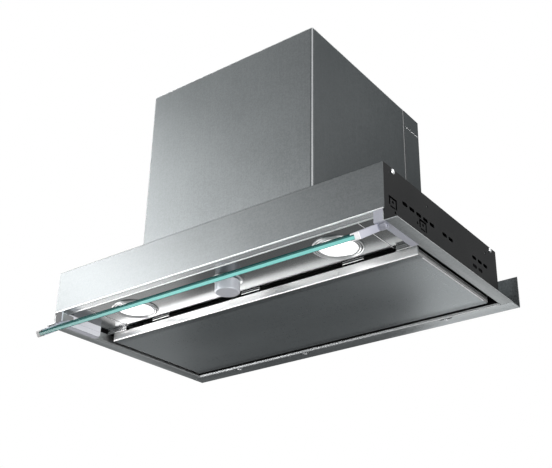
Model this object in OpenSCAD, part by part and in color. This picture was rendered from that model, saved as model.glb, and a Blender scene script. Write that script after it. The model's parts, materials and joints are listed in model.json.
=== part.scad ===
// Range hood insert for a wall cabinet 600 wide: a low steel body with side flanges, a glass
// visor on two arms, a lamp panel with a rotary knob, a hinged suction panel and a tall
// motor box that stands behind the fascia.
// X runs along the width, the front faces -Y and Z is up. The origin is the middle of the
// cabinet opening, on the plane where the flanges touch the underside of the cabinet.

/* [Body] */
// Width over the two side plates
body_w = 564; // [540:1:680]
// Depth from the fascia to the rear wall
body_d = 310; // [300:1:340]
// Height of the body above the cabinet's underside
body_h = 79; // [74:1:95]
// Thickness of the steel sheet
sheet_t = 1; // [0.8:0.1:1.2]
// Width of the side flange outside the side plate
flange_over = 17; // [12:1:24]
// Thickness of the flange
flange_t = 1.2; // [1:0.1:1.6]
// Height of the flange's inner leaf
flange_leaf_h = 12; // [10:1:14]
// Height of the folded side edge of the top deck
deck_fold_h = 15; // [12:1:20]

/* [Fascia] */
// Height of the fascia's lower edge above the seat plane
lip_z = 15; // [13:1:18]
// Depth of the fascia's lower lip
lip_d = 15.5; // [10:0.5:20]
// Depth of the fascia's upper return
return_d = 12; // [8:1:16]

/* [Rear strip] */
// Depth of the fold at the foot of the rear wall
fold_d = 6; // [5:1:8]
// Depth of the rear strip
strip_d = 26; // [20:1:40]
// Height of the rear strip's upstand
strip_up = 47; // [30:1:60]
// Length of the right-hand piece of the strip
strip_right_l = 216; // [180:1:240]
// Length of a slot in the strip
strip_slot_l = 20; // [15:1:24]
// Width of a slot in the strip
strip_slot_w = 3; // [2:0.5:4]
// Depth of the tongue that carries the strip
tongue_d = 22; // [18:1:25]

/* [Lamp panel] */
// Width of the piece at each end of the lamp panel
lamp_end_w = 48; // [42:1:57]
// Depth from the fascia to the middle of the rear roll
roll_y = 99; // [94:1:100]
// Outer radius of the rear roll
roll_r = 16; // [12:1:18]
// Joint between the lamp panel and its end pieces
seam = 0.5; // [0.3:0.1:0.8]
// Distance of a lamp from the end of the middle lamp panel
lamp_in = 56; // [45:1:75]
// Distance of the lamps from the start of the rear roll
lamp_back = 41; // [37:1:45]
// Radius of the lamp's chrome ring
ring_r = 33.5; // [31:0.5:35]
// Height of the chrome ring below the panel
ring_h = 2; // [1.5:0.5:3]
// Radius of the lamp's sleeve
sleeve_r = 29; // [28:0.5:30]
// Radius of the clear opening of the lamp
lens_r = 25; // [23:0.5:26]
// Thickness of the lens
lens_t = 2; // [1.5:0.5:3]
// Height of the lamp's housing
housing_h = 14; // [10:1:16]

/* [Knob] */
// Depth of the knob behind the fascia
knob_y = 54; // [50:1:60]
// Radius of the knob
knob_r = 17; // [14:0.5:18]
// Length of the knob
knob_h = 17.5; // [14:0.5:18]
// Radius of the ring under the knob
knob_ring_r = 21; // [20:0.5:24]
// Radius of the switch shaft
shaft_r = 3; // [2.5:0.5:4]

/* [Visor] */
// Depth of the pivot behind the fascia
pivot_y = 8; // [7:0.5:10]
// Drop of the pivot below the seat plane
pivot_drop = 3.3; // [3:0.1:4]
// Reach of the visor from its pivot
visor_reach = 53.5; // [45:0.5:56]
// Angle of the open visor below the horizontal
visor_tilt = 33; // [25:1:45]
// Thickness of the visor glass
glass_t = 6; // [4:0.5:6]
// Thickness of the visor arm
arm_t = 9; // [8:0.5:10]
// Width of the visor arm
arm_w = 11; // [9:0.5:13]
// Radius of the visor pin
visor_pin_r = 2.5; // [2:0.1:3]
// Length of the side bracket
bracket_l = 79; // [60:1:90]
// Thickness of the side bracket
bracket_t = 8; // [7:0.5:10]

/* [Suction panel] */
// Distance from the outside of a side plate to the suction panel
panel_side = 14; // [12:1:30]
// Distance the panel reaches in front of the filter's chamber
panel_lead = 12; // [10:1:14]
// Distance from the rear wall to the panel
panel_back = 10; // [8:1:20]
// Height of the panel's folded rim
panel_rim_h = 12.5; // [10:0.5:13]
// Length of a lug on the front rim
lug_l = 33; // [25:1:40]
// Height of a lug on the front rim
lug_h = 4; // [3:0.5:4.4]
// Distance of a hinge from the end of the panel
hinge_in = 68; // [60:1:90]
// Radius of a hinge pin
hinge_pin_r = 2.5; // [2:0.1:3]

/* [Filter] */
// Distance from the end of the panel to the filter
filter_side = 48; // [40:1:66]
// Distance from the panel's hinge line to the filter
filter_back = 14.2; // [13:0.2:20]
// Height of the filter
filter_h = 9; // [8:0.5:12]
// Width of the filter's frame
filter_rail = 12; // [10:1:16]

/* [Motor box] */
// Width of the motor box
box_w = 306; // [280:1:340]
// Depth of the box's front face behind the fascia
box_y0 = 37; // [30:1:45]
// Distance the box stands out behind the rear wall
box_back = 26; // [18:1:30]
// Depth of the rear channel of the box
channel_d = 46; // [36:1:60]
// Height of the top of the box above the seat plane
box_top = 362; // [340:1:400]
// Outer radius of the box's front bends
bend_r = 4; // [3:0.5:6]

/* [Outlet] */
// Outer radius of the duct collar
collar_r = 75; // [60:1:78]
// Height of the duct collar
collar_h = 40; // [36:1:60]
// Wall of the plastic collar
collar_t = 2; // [1.5:0.5:3]
// Radius of the damper rod
rod_r = 1.5; // [1.2:0.1:2]

/* [Fan] */
// Outer radius of the scroll
scroll_r = 118; // [105:1:120]
// Width of the scroll
scroll_w = 144; // [120:1:150]
// Radius of the impeller
wheel_r = 88; // [75:1:92]
// Width of the impeller
wheel_w = 110; // [90:1:116]
// Number of impeller blades
blades = 30; // [20:1:36]
// Radius of the motor
motor_r = 44; // [36:1:48]
// Radius of the mains cable's hole
cable_r = 4.2; // [3.5:0.1:5]

/* [Fits] */
// Clearance between a pin and its hole, on the radius
pin_gap = 0.06; // [0.03:0.01:0.1]
// Clearance between a sliding piece and its channel
slide_gap = 0.1; // [0.05:0.01:0.2]
// Clearance round parts that pass each other
free_gap = 0.5; // [0.3:0.1:1]

/* [Hidden] */
$fn = 96;
eps = sheet_t / 20;
y_front = -body_d / 2;
y_rear = body_d / 2;
x_out = body_w / 2;
x_in = x_out - sheet_t;
x_leaf = x_in - sheet_t;
x_flange = x_out + flange_over;
y_seam = y_rear + fold_d;
y_strip = y_seam + strip_d;
z_under = -flange_t;

// Depth of the shallow step in the flange that takes the foot of the side plate
seat_step = sheet_t * 0.2;

lamp_z = lip_z + sheet_t;
lamp_half_w = x_out - lamp_end_w;
lamp_x = lamp_half_w - lamp_in;
y_roll = y_front + roll_y;
y_lamp = y_roll - lamp_back;
y_knob = y_front + knob_y;
y_up = y_roll + roll_r;
seat_z = lamp_z + roll_r + sheet_t * 3;
deck_z = body_h - sheet_t * 2;

panel_half_w = x_out - panel_side;
panel_front = y_up - panel_lead;
panel_rear = y_rear - panel_back;
rim_z = z_under + panel_rim_h;
hinge_x = panel_half_w - hinge_in;
hinge_y = panel_rear - sheet_t * 4;
hinge_z = z_under + panel_rim_h * 0.58;

pivot = [y_front + pivot_y, -pivot_drop];
arm_x1 = x_leaf - bracket_t - sheet_t * 2;
arm_x0 = arm_x1 - arm_w;

filter_half_w = panel_half_w - filter_side;
filter_y0 = y_up + sheet_t * 3;
filter_y1 = hinge_y - filter_back;
filter_z = seat_z - filter_h;
mesh_z = filter_z + sheet_t * 2;

box_half = box_w / 2;
box_front = y_front + box_y0;
box_rear = y_rear + box_back;
box_seam = box_rear - channel_d;
box_z = deck_z + sheet_t;
top_z = box_top - sheet_t;
fan_y = (box_front + box_rear) / 2;
fan_z = top_z - scroll_r * 1.33;
rod_z = box_top + collar_h * 0.45;

// General shapes

module block(low, high) {
    translate(low) cube(high - low);
}

module rod_x(x0, x1, y, z, r) {
    translate([x0, y, z]) rotate([0, 90, 0]) cylinder(h = x1 - x0, r = r);
}

module rod_y(x, y0, y1, z, r) {
    translate([x, y0, z]) rotate([-90, 0, 0]) cylinder(h = y1 - y0, r = r);
}

module rod_z_at(x, y, z0, z1, r) {
    translate([x, y, z0]) cylinder(h = z1 - z0, r = r);
}

// Stands a drawing of Y and Z up and runs it along X from x0 to x1
module run_x(x0, x1) {
    translate([x0, 0, 0]) rotate([90, 0, 90]) linear_extrude(height = x1 - x0) children();
}

module rect(low, high) {
    translate(low) square(high - low);
}

module on_left() {
    mirror([1, 0, 0]) children();
}

// Body sheets

module fold_profile() {
    rect([y_front, lip_z], [y_front + lip_d, lip_z + sheet_t]);
    rect([y_front, body_h - sheet_t], [y_front + return_d, body_h]);
}

module front_panel() {
    color("silver") {
        run_x(-x_out, x_out) rect([y_front, lip_z], [y_front + sheet_t, body_h]);
        run_x(-x_in, x_in) fold_profile();
    }
}

// Slots, lanced windows, holes and screws of a side plate. The shares are those of the plate's
// depth, counted from the fascia, and of its height.
slot_l = 11;
slot_h = 4;
slot_pitch = 17;
slot_steps = [0, 1, 2, 3, 4, 6, 7];
slot_row_share = 0.161;
rear_row_share = 0.765;
slot_row_z = body_h * 0.53;
rear_low_z = body_h * 0.37;
window_w = 18.5;
window_h = 13;
window_cut = 2.4;
window_shares = [0.068, 0.303];
window_z = body_h * 0.4;
fixing_r = 2;
small_hole_r = 1.7;
small_hole_shares = [[0.345, 0.81], [0.884, 0.8], [0.258, 0.37], [0.084, 0.25]];
screw_shares = [0.074, 0.939];
screw_z = body_h * 0.945;
screw_r = 2;
screw_head_r = 4.2;
screw_head_h = 1.8;

function at_depth(share) = y_front + body_d * share;

module slot_yz(y, z, length, height) {
    translate([x_in - sheet_t, y, z]) {
        rotate([0, 90, 0]) {
            translate([0, -(length - height) / 2, 0]) cylinder(h = sheet_t * 3, d = height);
            translate([0, (length - height) / 2, 0]) cylinder(h = sheet_t * 3, d = height);
        }
        translate([0, -(length - height) / 2, -height / 2])
            cube([sheet_t * 3, length - height, height]);
    }
}

module window_yz(y, z) {
    x0 = x_in - sheet_t;
    x1 = x_out + sheet_t;
    difference() {
        block([x0, y - window_w / 2, z - window_h / 2], [x1, y + window_w / 2, z + window_h / 2]);
        block([x0 - sheet_t, y - window_w / 2 + window_cut, z - window_h],
            [x1 + sheet_t, y + window_w / 2 - window_cut, z + window_h / 2 - window_cut]);
    }
    rod_x(x0, x1, y, z, fixing_r);
}

module side_hole(y, z, r) {
    rod_x(x_leaf - sheet_t, x_out + sheet_t, y, z, r);
}

module side_plate_shape() {
    difference() {
        union() {
            block([x_in, y_front + sheet_t, -seat_step], [x_out, y_rear, body_h]);
            block([x_in, y_front, -seat_step], [x_out, y_front + sheet_t, lip_z]);
        }
        for (i = slot_steps)
            slot_yz(at_depth(slot_row_share) + i * slot_pitch, slot_row_z, slot_l, slot_h);
        for (i = [0:2])
            slot_yz(at_depth(rear_row_share) + i * slot_pitch, slot_row_z, slot_l, slot_h);
        for (i = [0:1])
            slot_yz(at_depth(rear_row_share) + i * slot_pitch, rear_low_z, slot_l, slot_h);
        for (share = window_shares) window_yz(at_depth(share), window_z);
        for (hole = small_hole_shares) side_hole(at_depth(hole[0]), body_h * hole[1], small_hole_r);
        for (share = screw_shares) side_hole(at_depth(share), screw_z, screw_r + pin_gap);
    }
}

module side_plate_left() {
    color("dimgray") on_left() side_plate_shape();
}

module side_plate_right() {
    color("dimgray") side_plate_shape();
}

module flange_shape() {
    block([x_leaf, y_front, z_under], [x_flange, y_seam, -seat_step]);
    block([x_out, y_front, z_under], [x_flange, y_seam, 0]);
    block([x_leaf, y_front, -seat_step], [x_in, y_rear - sheet_t, flange_leaf_h]);
}

module flange_left() {
    color("gainsboro") on_left() flange_shape();
}

module flange_right() {
    color("gainsboro") flange_shape();
}

deck_hole_x = box_half * 0.85;
deck_hole_y0 = box_front + box_w * 0.08;
lap = 14;
deck_hole_y1 = box_seam - lap;

module top_deck() {
    color("lightgray") difference() {
        union() {
            block([-x_in, y_front + sheet_t, deck_z], [x_in, y_rear, deck_z + sheet_t]);
            for (s = [-1, 1]) scale([s, 1, 1])
                block([x_leaf, y_front + sheet_t * 4, deck_z - deck_fold_h],
                    [x_in, y_rear - sheet_t * 4, deck_z]);
        }
        block([-deck_hole_x, deck_hole_y0, deck_z - sheet_t],
            [deck_hole_x, deck_hole_y1, deck_z + sheet_t * 2]);
        for (s = [-1, 1]) for (share = screw_shares) scale([s, 1, 1])
            side_hole(at_depth(share), screw_z, screw_r + pin_gap);
    }
}

module back_plate() {
    color("lightgray") {
        block([-x_in, y_rear - sheet_t, 0], [x_in, y_rear, deck_z]);
        block([-x_leaf, y_rear - sheet_t, z_under], [x_leaf, y_seam, 0]);
    }
}

// Rear strip

// Places of the slots and of a round hole, as shares of the body's width from the middle
strip_slot_shares = [-0.351, -0.112, 0.34];
strip_hole_share = -0.23;
strip_split_x = x_flange - strip_right_l;
slot_y = y_seam + strip_slot_w * 1.6;
strip_pin_r = strip_slot_w * 0.4;

module strip_slots() {
    for (share = strip_slot_shares)
        block([body_w * share - strip_slot_l / 2, slot_y - strip_slot_w / 2, z_under * 2],
            [body_w * share + strip_slot_l / 2, slot_y + strip_slot_w / 2, sheet_t]);
    rod_z_at(body_w * strip_hole_share, slot_y, z_under * 2, sheet_t, strip_slot_w / 2);
}

module strip_shape(x0, x1) {
    difference() {
        union() {
            block([x0, y_seam, z_under], [x1, y_strip, 0]);
            block([x0, y_strip - sheet_t, 0], [x1, y_strip, strip_up]);
        }
        strip_slots();
    }
}

module rear_strip_left() {
    color("silver") strip_shape(-x_flange, strip_split_x);
}

module rear_strip_right() {
    color("silver") strip_shape(strip_split_x, x_flange);
}

module strip_tongue() {
    color("darkgray") difference() {
        block([-x_in, y_rear, 0], [x_in, y_rear + tongue_d, sheet_t]);
        for (share = strip_slot_shares)
            rod_z_at(body_w * share, slot_y, -sheet_t, sheet_t * 2, strip_pin_r);
    }
}

module strip_screw(i) {
    color("whitesmoke") {
        rod_z_at(body_w * strip_slot_shares[i], slot_y, z_under - sheet_t, z_under, strip_slot_w);
        rod_z_at(body_w * strip_slot_shares[i], slot_y, z_under, sheet_t * 3, strip_pin_r);
    }
}

module strip_screw_1() { strip_screw(0); }
module strip_screw_2() { strip_screw(1); }
module strip_screw_3() { strip_screw(2); }

// Lamp panel, lamps and knob

module roll_profile() {
    rect([y_front + sheet_t, lamp_z], [y_roll, lamp_z + sheet_t]);
    translate([y_roll, lamp_z + roll_r]) intersection() {
        difference() {
            circle(r = roll_r);
            circle(r = roll_r - sheet_t);
        }
        translate([0, -roll_r]) square(roll_r);
    }
    rect([y_up - sheet_t, lamp_z + roll_r], [y_up, seat_z]);
}

module lamp_panel() {
    color("silver") difference() {
        run_x(-lamp_half_w, lamp_half_w) roll_profile();
        for (x = [-lamp_x, lamp_x])
            rod_z_at(x, y_lamp, lamp_z - sheet_t, lamp_z + sheet_t * 2, sleeve_r);
        rod_z_at(0, y_knob, lamp_z - sheet_t, lamp_z + sheet_t * 2, shaft_r * 2);
    }
}

stop_in = 4;
stop_t = 4;
stop_x0 = lamp_half_w + stop_in;
stop_x1 = lamp_half_w + lamp_end_w * 0.584;
stop_y1 = panel_front - sheet_t * 3;
stop_y0 = stop_y1 - stop_t;
rib_h = 2.4;
rib_gap = 1.4;

// The end piece carries a ribbed stop that closes the end of the front slot
module lamp_end_shape() {
    run_x(lamp_half_w + seam, x_in) roll_profile();
    block([stop_x0, stop_y0 + sheet_t, lamp_z - rib_h * 4], [stop_x1, stop_y1, lamp_z]);
    for (i = [0:2]) block([stop_x0, stop_y0, lamp_z - rib_h * 4 + i * (rib_h + rib_gap)],
        [stop_x1, stop_y0 + sheet_t, lamp_z - rib_h * 3 + i * (rib_h + rib_gap)]);
}

module lamp_end_left() {
    color("darkgray") on_left() lamp_end_shape();
}

module lamp_end_right() {
    color("darkgray") lamp_end_shape();
}

lamp_bottom = lamp_z - ring_h;
ledge_z = lamp_bottom + ring_h * 0.6;
sleeve_h = 8;
sleeve_top = lamp_z + sleeve_h;

module lamp_ring_at(x) {
    color("whitesmoke") difference() {
        union() {
            rod_z_at(x, y_lamp, lamp_bottom, lamp_z, ring_r);
            rod_z_at(x, y_lamp, lamp_z, sleeve_top, sleeve_r);
        }
        rod_z_at(x, y_lamp, lamp_bottom - sheet_t, ledge_z, lens_r);
        rod_z_at(x, y_lamp, ledge_z, sleeve_top + sheet_t, lens_r + sheet_t);
    }
}

module lamp_lens_at(x) {
    color("white") rod_z_at(x, y_lamp, ledge_z, ledge_z + lens_t, lens_r + sheet_t);
}

module lamp_housing_at(x) {
    color("gray") difference() {
        rod_z_at(x, y_lamp, sleeve_top, sleeve_top + housing_h, sleeve_r);
        for (i = [1:4])
            block([x - sleeve_r, y_lamp - sleeve_r, sleeve_top + i * housing_h / 5],
                [x - sleeve_r * 0.55, y_lamp + sleeve_r, sleeve_top + (i + 0.5) * housing_h / 5]);
    }
}

module lamp_ring_left() { lamp_ring_at(-lamp_x); }
module lamp_ring_right() { lamp_ring_at(lamp_x); }
module lamp_lens_left() { lamp_lens_at(-lamp_x); }
module lamp_lens_right() { lamp_lens_at(lamp_x); }
module lamp_housing_left() { lamp_housing_at(-lamp_x); }
module lamp_housing_right() { lamp_housing_at(lamp_x); }

knob_top = lamp_bottom - free_gap;
knob_bottom = knob_top - knob_h;
socket_h = knob_h * 0.6;
switch_z = lamp_z + sheet_t;
switch_w = knob_r * 1.8;
switch_h = knob_r * 1.2;

module knob() {
    color("silver") difference() {
        rod_z_at(0, y_knob, knob_bottom, knob_top, knob_r);
        rod_z_at(0, y_knob, knob_top - socket_h, knob_top + sheet_t, shaft_r);
    }
}

module knob_shaft() {
    color("dimgray")
        rod_z_at(0, y_knob, knob_top - socket_h, switch_z + switch_h * 0.7, shaft_r);
}

module knob_ring() {
    color("whitesmoke") difference() {
        rod_z_at(0, y_knob, lamp_bottom, lamp_z, knob_ring_r);
        rod_z_at(0, y_knob, lamp_bottom - sheet_t, lamp_z + sheet_t, shaft_r * 1.5);
    }
}

module speed_switch() {
    color("darkslategray") difference() {
        block([-switch_w / 2, y_knob - switch_w / 2, switch_z],
            [switch_w / 2, y_knob + switch_w / 2, switch_z + switch_h]);
        rod_z_at(0, y_knob, switch_z - sheet_t, switch_z + switch_h * 0.8, shaft_r + pin_gap);
    }
}

control_in = 18;
control_wall = 2;
control_h = switch_h * 1.7;
control_x = knob_r * 3.6;
control_y0 = y_front + control_in;
control_y1 = y_roll - roll_r;

module control_box() {
    color("dimgray") difference() {
        block([-control_x, control_y0, switch_z], [control_x, control_y1, switch_z + control_h]);
        block([-control_x + control_wall, control_y0 + control_wall, switch_z - sheet_t],
            [control_x - control_wall, control_y1 - control_wall,
                switch_z + control_h - control_wall]);
    }
}

// Visor: drawn level and pointing to the front, then tilted about its pivot

glass_x = arm_x0 + arm_w * 0.45;
glass_start = arm_t * 0.9;
cap_l = arm_t * 0.3;
arm_end = visor_reach - cap_l;
visor_angle = visor_tilt;

module tilt_visor() {
    translate([0, pivot[0], pivot[1]]) rotate([visor_angle, 0, 0]) children();
}

module visor_glass() {
    color("paleturquoise") tilt_visor()
        block([-glass_x, -visor_reach, -glass_t / 2], [glass_x, -glass_start, glass_t / 2]);
}

module glass_groove() {
    block([arm_x0 - sheet_t, -visor_reach - sheet_t, -glass_t / 2], [glass_x, -glass_start, glass_t / 2]);
}

module visor_arm_shape() {
    tilt_visor() difference() {
        union() {
            rod_x(arm_x0, arm_x1, 0, 0, arm_t / 2);
            block([arm_x0, -arm_end, -arm_t / 2], [arm_x1, 0, arm_t / 2]);
            rod_x(arm_x1 - sheet_t, x_leaf - sheet_t, 0, 0, visor_pin_r);
        }
        glass_groove();
    }
}

module visor_cap_shape() {
    tilt_visor() difference() {
        block([arm_x0, -visor_reach, -arm_t / 2], [arm_x1, -arm_end, arm_t / 2]);
        glass_groove();
    }
}

module visor_arm_left() { color("lavender") on_left() visor_arm_shape(); }
module visor_arm_right() { color("lavender") visor_arm_shape(); }
module visor_cap_left() { color("white") on_left() visor_cap_shape(); }
module visor_cap_right() { color("white") visor_cap_shape(); }

bracket_x0 = x_leaf - bracket_t;
front_tab_w = bracket_t * 2.8;
front_tab_t = sheet_t * 2;
bracket_round = bracket_t * 0.6;
boss_r = visor_pin_r + sheet_t * 2.5;

module bracket_profile() {
    difference() {
        union() {
            rect([y_front, z_under], [y_front + bracket_l - bracket_round, lip_z]);
            rect([y_front + lip_d, lip_z - eps], [y_front + bracket_l, lamp_z]);
            rect([y_front, z_under + bracket_round], [y_front + bracket_l, lip_z]);
            translate([y_front + bracket_l - bracket_round, z_under + bracket_round])
                circle(r = bracket_round);
            translate(pivot) circle(r = boss_r);
        }
        translate(pivot) circle(r = visor_pin_r + pin_gap);
    }
}

module visor_bracket_shape() {
    run_x(bracket_x0, x_leaf) bracket_profile();
    block([x_leaf - front_tab_w, y_front, z_under], [bracket_x0, y_front + front_tab_t, lip_z]);
}

module visor_bracket_left() { color("lavender") on_left() visor_bracket_shape(); }
module visor_bracket_right() { color("lavender") visor_bracket_shape(); }

// Suction panel, its hinges and its catches

ear_t = 2;
ear_wall = 2.5;
arm_thick = 3;
foot_l = 9;
ear_x = arm_thick / 2 + ear_wall;
ear_r = hinge_pin_r + ear_wall;
ear_back = panel_rear - sheet_t / 2 - hinge_y;
notch_w = arm_thick / 2 + sheet_t;
keeper_x = panel_half_w - filter_side * 0.67;
keeper_w = lug_l * 0.36;
catch_y = y_up + sheet_t;
catch_d = lug_l * 0.3;
lug_shares = [-0.303, 0, 0.303];

module panel_tray() {
    difference() {
        block([-panel_half_w, panel_front, z_under], [panel_half_w, panel_rear, rim_z]);
        block([-panel_half_w + sheet_t, panel_front + sheet_t, z_under + sheet_t],
            [panel_half_w - sheet_t, panel_rear - sheet_t, rim_z + sheet_t]);
        for (s = [-1, 1])
            block([s * hinge_x - notch_w, panel_rear - sheet_t * 2, z_under + sheet_t],
                [s * hinge_x + notch_w, panel_rear + sheet_t, rim_z + sheet_t]);
    }
}

module hinge_ear(x) {
    difference() {
        union() {
            block([x - ear_t / 2, hinge_y - ear_r, z_under + sheet_t / 2],
                [x + ear_t / 2, hinge_y + ear_back, hinge_z]);
            intersection() {
                rod_x(x - ear_t / 2, x + ear_t / 2, hinge_y, hinge_z, ear_r);
                block([x - ear_t, hinge_y - ear_r * 2, hinge_z],
                    [x + ear_t, hinge_y + ear_back, hinge_z + ear_r]);
            }
        }
        rod_x(x - ear_t, x + ear_t, hinge_y, hinge_z, hinge_pin_r + pin_gap);
    }
}

module panel_lug(x) {
    block([x - lug_l / 2, panel_front, rim_z - sheet_t],
        [x + lug_l / 2, panel_front + sheet_t, rim_z + lug_h]);
}

module panel_keeper(x) {
    block([x - keeper_w / 2, panel_front + sheet_t / 2, rim_z - sheet_t],
        [x + keeper_w / 2, catch_y + catch_d, rim_z]);
}

module suction_panel() {
    color("silver") {
        panel_tray();
        for (share = lug_shares) panel_lug(body_w * share);
        for (s = [-1, 1]) for (e = [-1, 1]) hinge_ear(s * hinge_x + e * ear_x);
        for (s = [-1, 1]) panel_keeper(s * keeper_x);
    }
}

module panel_hinge_at(x) {
    pin_end = ear_x + ear_t;
    color("gray") {
        block([x - arm_thick / 2, hinge_y - arm_thick, hinge_z],
            [x + arm_thick / 2, hinge_y + arm_thick, seat_z]);
        rod_x(x - arm_thick / 2, x + arm_thick / 2, hinge_y, hinge_z, arm_thick);
        rod_x(x - pin_end, x + pin_end, hinge_y, hinge_z, hinge_pin_r);
        block([x - foot_l, hinge_y - arm_thick, seat_z - sheet_t],
            [x + foot_l, hinge_y + arm_thick, seat_z]);
    }
}

module panel_catch_at(x) {
    color("black") block([x - keeper_w / 2, catch_y, rim_z + free_gap],
        [x + keeper_w / 2, catch_y + catch_d, seat_z]);
}

module panel_hinge_left() { panel_hinge_at(-hinge_x); }
module panel_hinge_right() { panel_hinge_at(hinge_x); }
module panel_catch_left() { panel_catch_at(-keeper_x); }
module panel_catch_right() { panel_catch_at(keeper_x); }

// Filter, its seat and its latch

housing_w = filter_rail * 3;
housing_d = filter_rail * 1.1;
latch_w = filter_rail * 1.7;
latch_t = filter_h * 0.45;
latch_l = filter_rail * 1.25;
latch_z = filter_z + filter_h * 0.3;
latch_y = filter_y1 + filter_rail * 0.5;
latch_tab = filter_rail * 0.4;
keeper_y = filter_y1 + housing_d + sheet_t * 2;
keeper_wide = latch_w + filter_rail;

module filter_seat() {
    color("lightgray") difference() {
        block([-x_in, y_up - sheet_t, seat_z], [x_in, y_rear - sheet_t, seat_z + sheet_t]);
        block([-filter_half_w + filter_rail, filter_y0 + filter_rail, seat_z - sheet_t],
            [filter_half_w - filter_rail, filter_y1 - filter_rail, seat_z + sheet_t * 2]);
    }
}

module filter_frame() {
    color("gainsboro") difference() {
        union() {
            block([-filter_half_w, filter_y0, filter_z], [filter_half_w, filter_y1, seat_z]);
            block([-housing_w / 2, filter_y1 - sheet_t, filter_z],
                [housing_w / 2, filter_y1 + housing_d, seat_z - sheet_t]);
        }
        block([-filter_half_w + filter_rail, filter_y0 + filter_rail, filter_z - sheet_t],
            [filter_half_w - filter_rail, filter_y1 - filter_rail, seat_z + sheet_t]);
        block([-latch_w / 2 - slide_gap, filter_y1, latch_z - slide_gap],
            [latch_w / 2 + slide_gap, filter_y1 + housing_d + sheet_t, latch_z + latch_t + slide_gap]);
        block([-latch_tab - slide_gap, filter_y1, filter_z - sheet_t],
            [latch_tab + slide_gap, filter_y1 + housing_d + sheet_t, latch_z]);
    }
}

module filter_mesh() {
    color("darkgray") block([-filter_half_w + filter_rail, filter_y0 + filter_rail, mesh_z],
        [filter_half_w - filter_rail, filter_y1 - filter_rail, seat_z - sheet_t]);
}

module filter_latch() {
    color("dimgray") {
        block([-latch_w / 2, latch_y, latch_z], [latch_w / 2, latch_y + latch_l, latch_z + latch_t]);
        block([-latch_tab, latch_y, filter_z - filter_h * 0.4], [latch_tab, latch_y + latch_tab, latch_z]);
    }
}

module latch_keeper() {
    color("gray") difference() {
        block([-keeper_wide / 2, keeper_y, latch_z - sheet_t * 2],
            [keeper_wide / 2, keeper_y + sheet_t, seat_z]);
        block([-latch_w / 2 - free_gap, keeper_y - sheet_t, latch_z - free_gap],
            [latch_w / 2 + free_gap, keeper_y + sheet_t * 2, latch_z + latch_t + free_gap]);
    }
}

// Motor box

module shell_plan() {
    translate([-box_half + bend_r, box_front + bend_r]) bend(180);
    translate([box_half - bend_r, box_front + bend_r]) bend(270);
    rect([-box_half + bend_r, box_front], [box_half - bend_r, box_front + sheet_t]);
    rect([-box_half, box_front + bend_r], [-box_half + sheet_t, box_seam]);
    rect([box_half - sheet_t, box_front + bend_r], [box_half, box_seam]);
}

module bend(angle) {
    rotate(angle) intersection() {
        difference() {
            circle(r = bend_r);
            circle(r = bend_r - sheet_t);
        }
        square(bend_r);
    }
}

module motor_box_front() {
    color("gainsboro") translate([0, 0, box_z]) linear_extrude(height = top_z - box_z) shell_plan();
}

module channel_plan() {
    rect([-box_half, box_rear - sheet_t], [box_half, box_rear]);
    for (s = [-1, 1]) scale([s, 1]) {
        rect([box_half - sheet_t, box_seam + eps * 6], [box_half, box_rear]);
        rect([box_half - sheet_t * 2, box_seam - lap], [box_half - sheet_t, box_seam + lap]);
    }
}

module motor_box_rear() {
    color("lightgray") {
        translate([0, 0, box_z]) linear_extrude(height = top_z - box_z) channel_plan();
        block([-box_half + sheet_t / 2, box_seam + lap, box_z],
            [box_half - sheet_t / 2, box_rear - sheet_t / 2, box_z + sheet_t]);
    }
}

module motor_box_top() {
    color("lightgray") difference() {
        union() {
            block([-box_half, box_front + bend_r, top_z], [box_half, box_rear, box_top]);
            block([-box_half + bend_r, box_front, top_z],
                [box_half - bend_r, box_front + bend_r * 2, box_top]);
        }
        rod_z_at(0, fan_y, top_z - sheet_t, box_top + sheet_t, collar_r - collar_t);
    }
}

// Outlet with its two flaps

flap_r = collar_r - collar_t * 2;
flap_t = collar_t * 0.8;
flap_start = rod_r * 2.4;
knuckle_r = rod_r + collar_t * 0.6;
stop_z = rod_z - flap_t / 2 - collar_t * 0.15;
knuckle_l = flap_r * 0.22;
stop_angles = [45, 135, 225, 315];

// A small block inside the collar on which a flap comes to rest
module flap_stop(angle) {
    translate([0, fan_y, 0]) rotate([0, 0, angle])
        block([collar_r - collar_t * 3, -collar_t * 2, stop_z - collar_t],
            [collar_r - collar_t / 2, collar_t * 2, stop_z]);
}

module outlet_collar() {
    color("dimgray") {
        difference() {
            union() {
                rod_z_at(0, fan_y, box_top, box_top + collar_h, collar_r);
                rod_z_at(0, fan_y, box_top, box_top + collar_t, collar_r + collar_t * 2);
            }
            rod_z_at(0, fan_y, box_top - sheet_t, box_top + collar_h + sheet_t,
                collar_r - collar_t);
            rod_x(-collar_r * 2, collar_r * 2, fan_y, rod_z, rod_r);
        }
        for (angle = stop_angles) flap_stop(angle);
    }
}

module damper_rod() {
    color("silver") rod_x(-collar_r, collar_r, fan_y, rod_z, rod_r);
}

// One flap lies on the rear side of the rod; its knuckles sit at the given places
module flap_shape(places) {
    difference() {
        union() {
            intersection() {
                rod_z_at(0, fan_y, rod_z - flap_t / 2, rod_z + flap_t / 2, flap_r);
                block([-flap_r, fan_y + flap_start, rod_z - flap_t],
                    [flap_r, fan_y + flap_r, rod_z + flap_t]);
            }
            for (x = places) {
                rod_x(x - knuckle_l / 2, x + knuckle_l / 2, fan_y, rod_z, knuckle_r);
                block([x - knuckle_l / 2, fan_y, rod_z - flap_t / 2],
                    [x + knuckle_l / 2, fan_y + flap_start + collar_t, rod_z + flap_t / 2]);
            }
        }
        rod_x(-collar_r, collar_r, fan_y, rod_z, rod_r + pin_gap);
    }
}

module damper_flap_rear() {
    color("darkgray") flap_shape([-flap_r * 0.75, flap_r * 0.2]);
}

module damper_flap_front() {
    color("darkgray") translate([0, fan_y * 2, 0]) mirror([0, 1, 0])
        flap_shape([-flap_r * 0.2, flap_r * 0.75]);
}

// Fan

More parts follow.
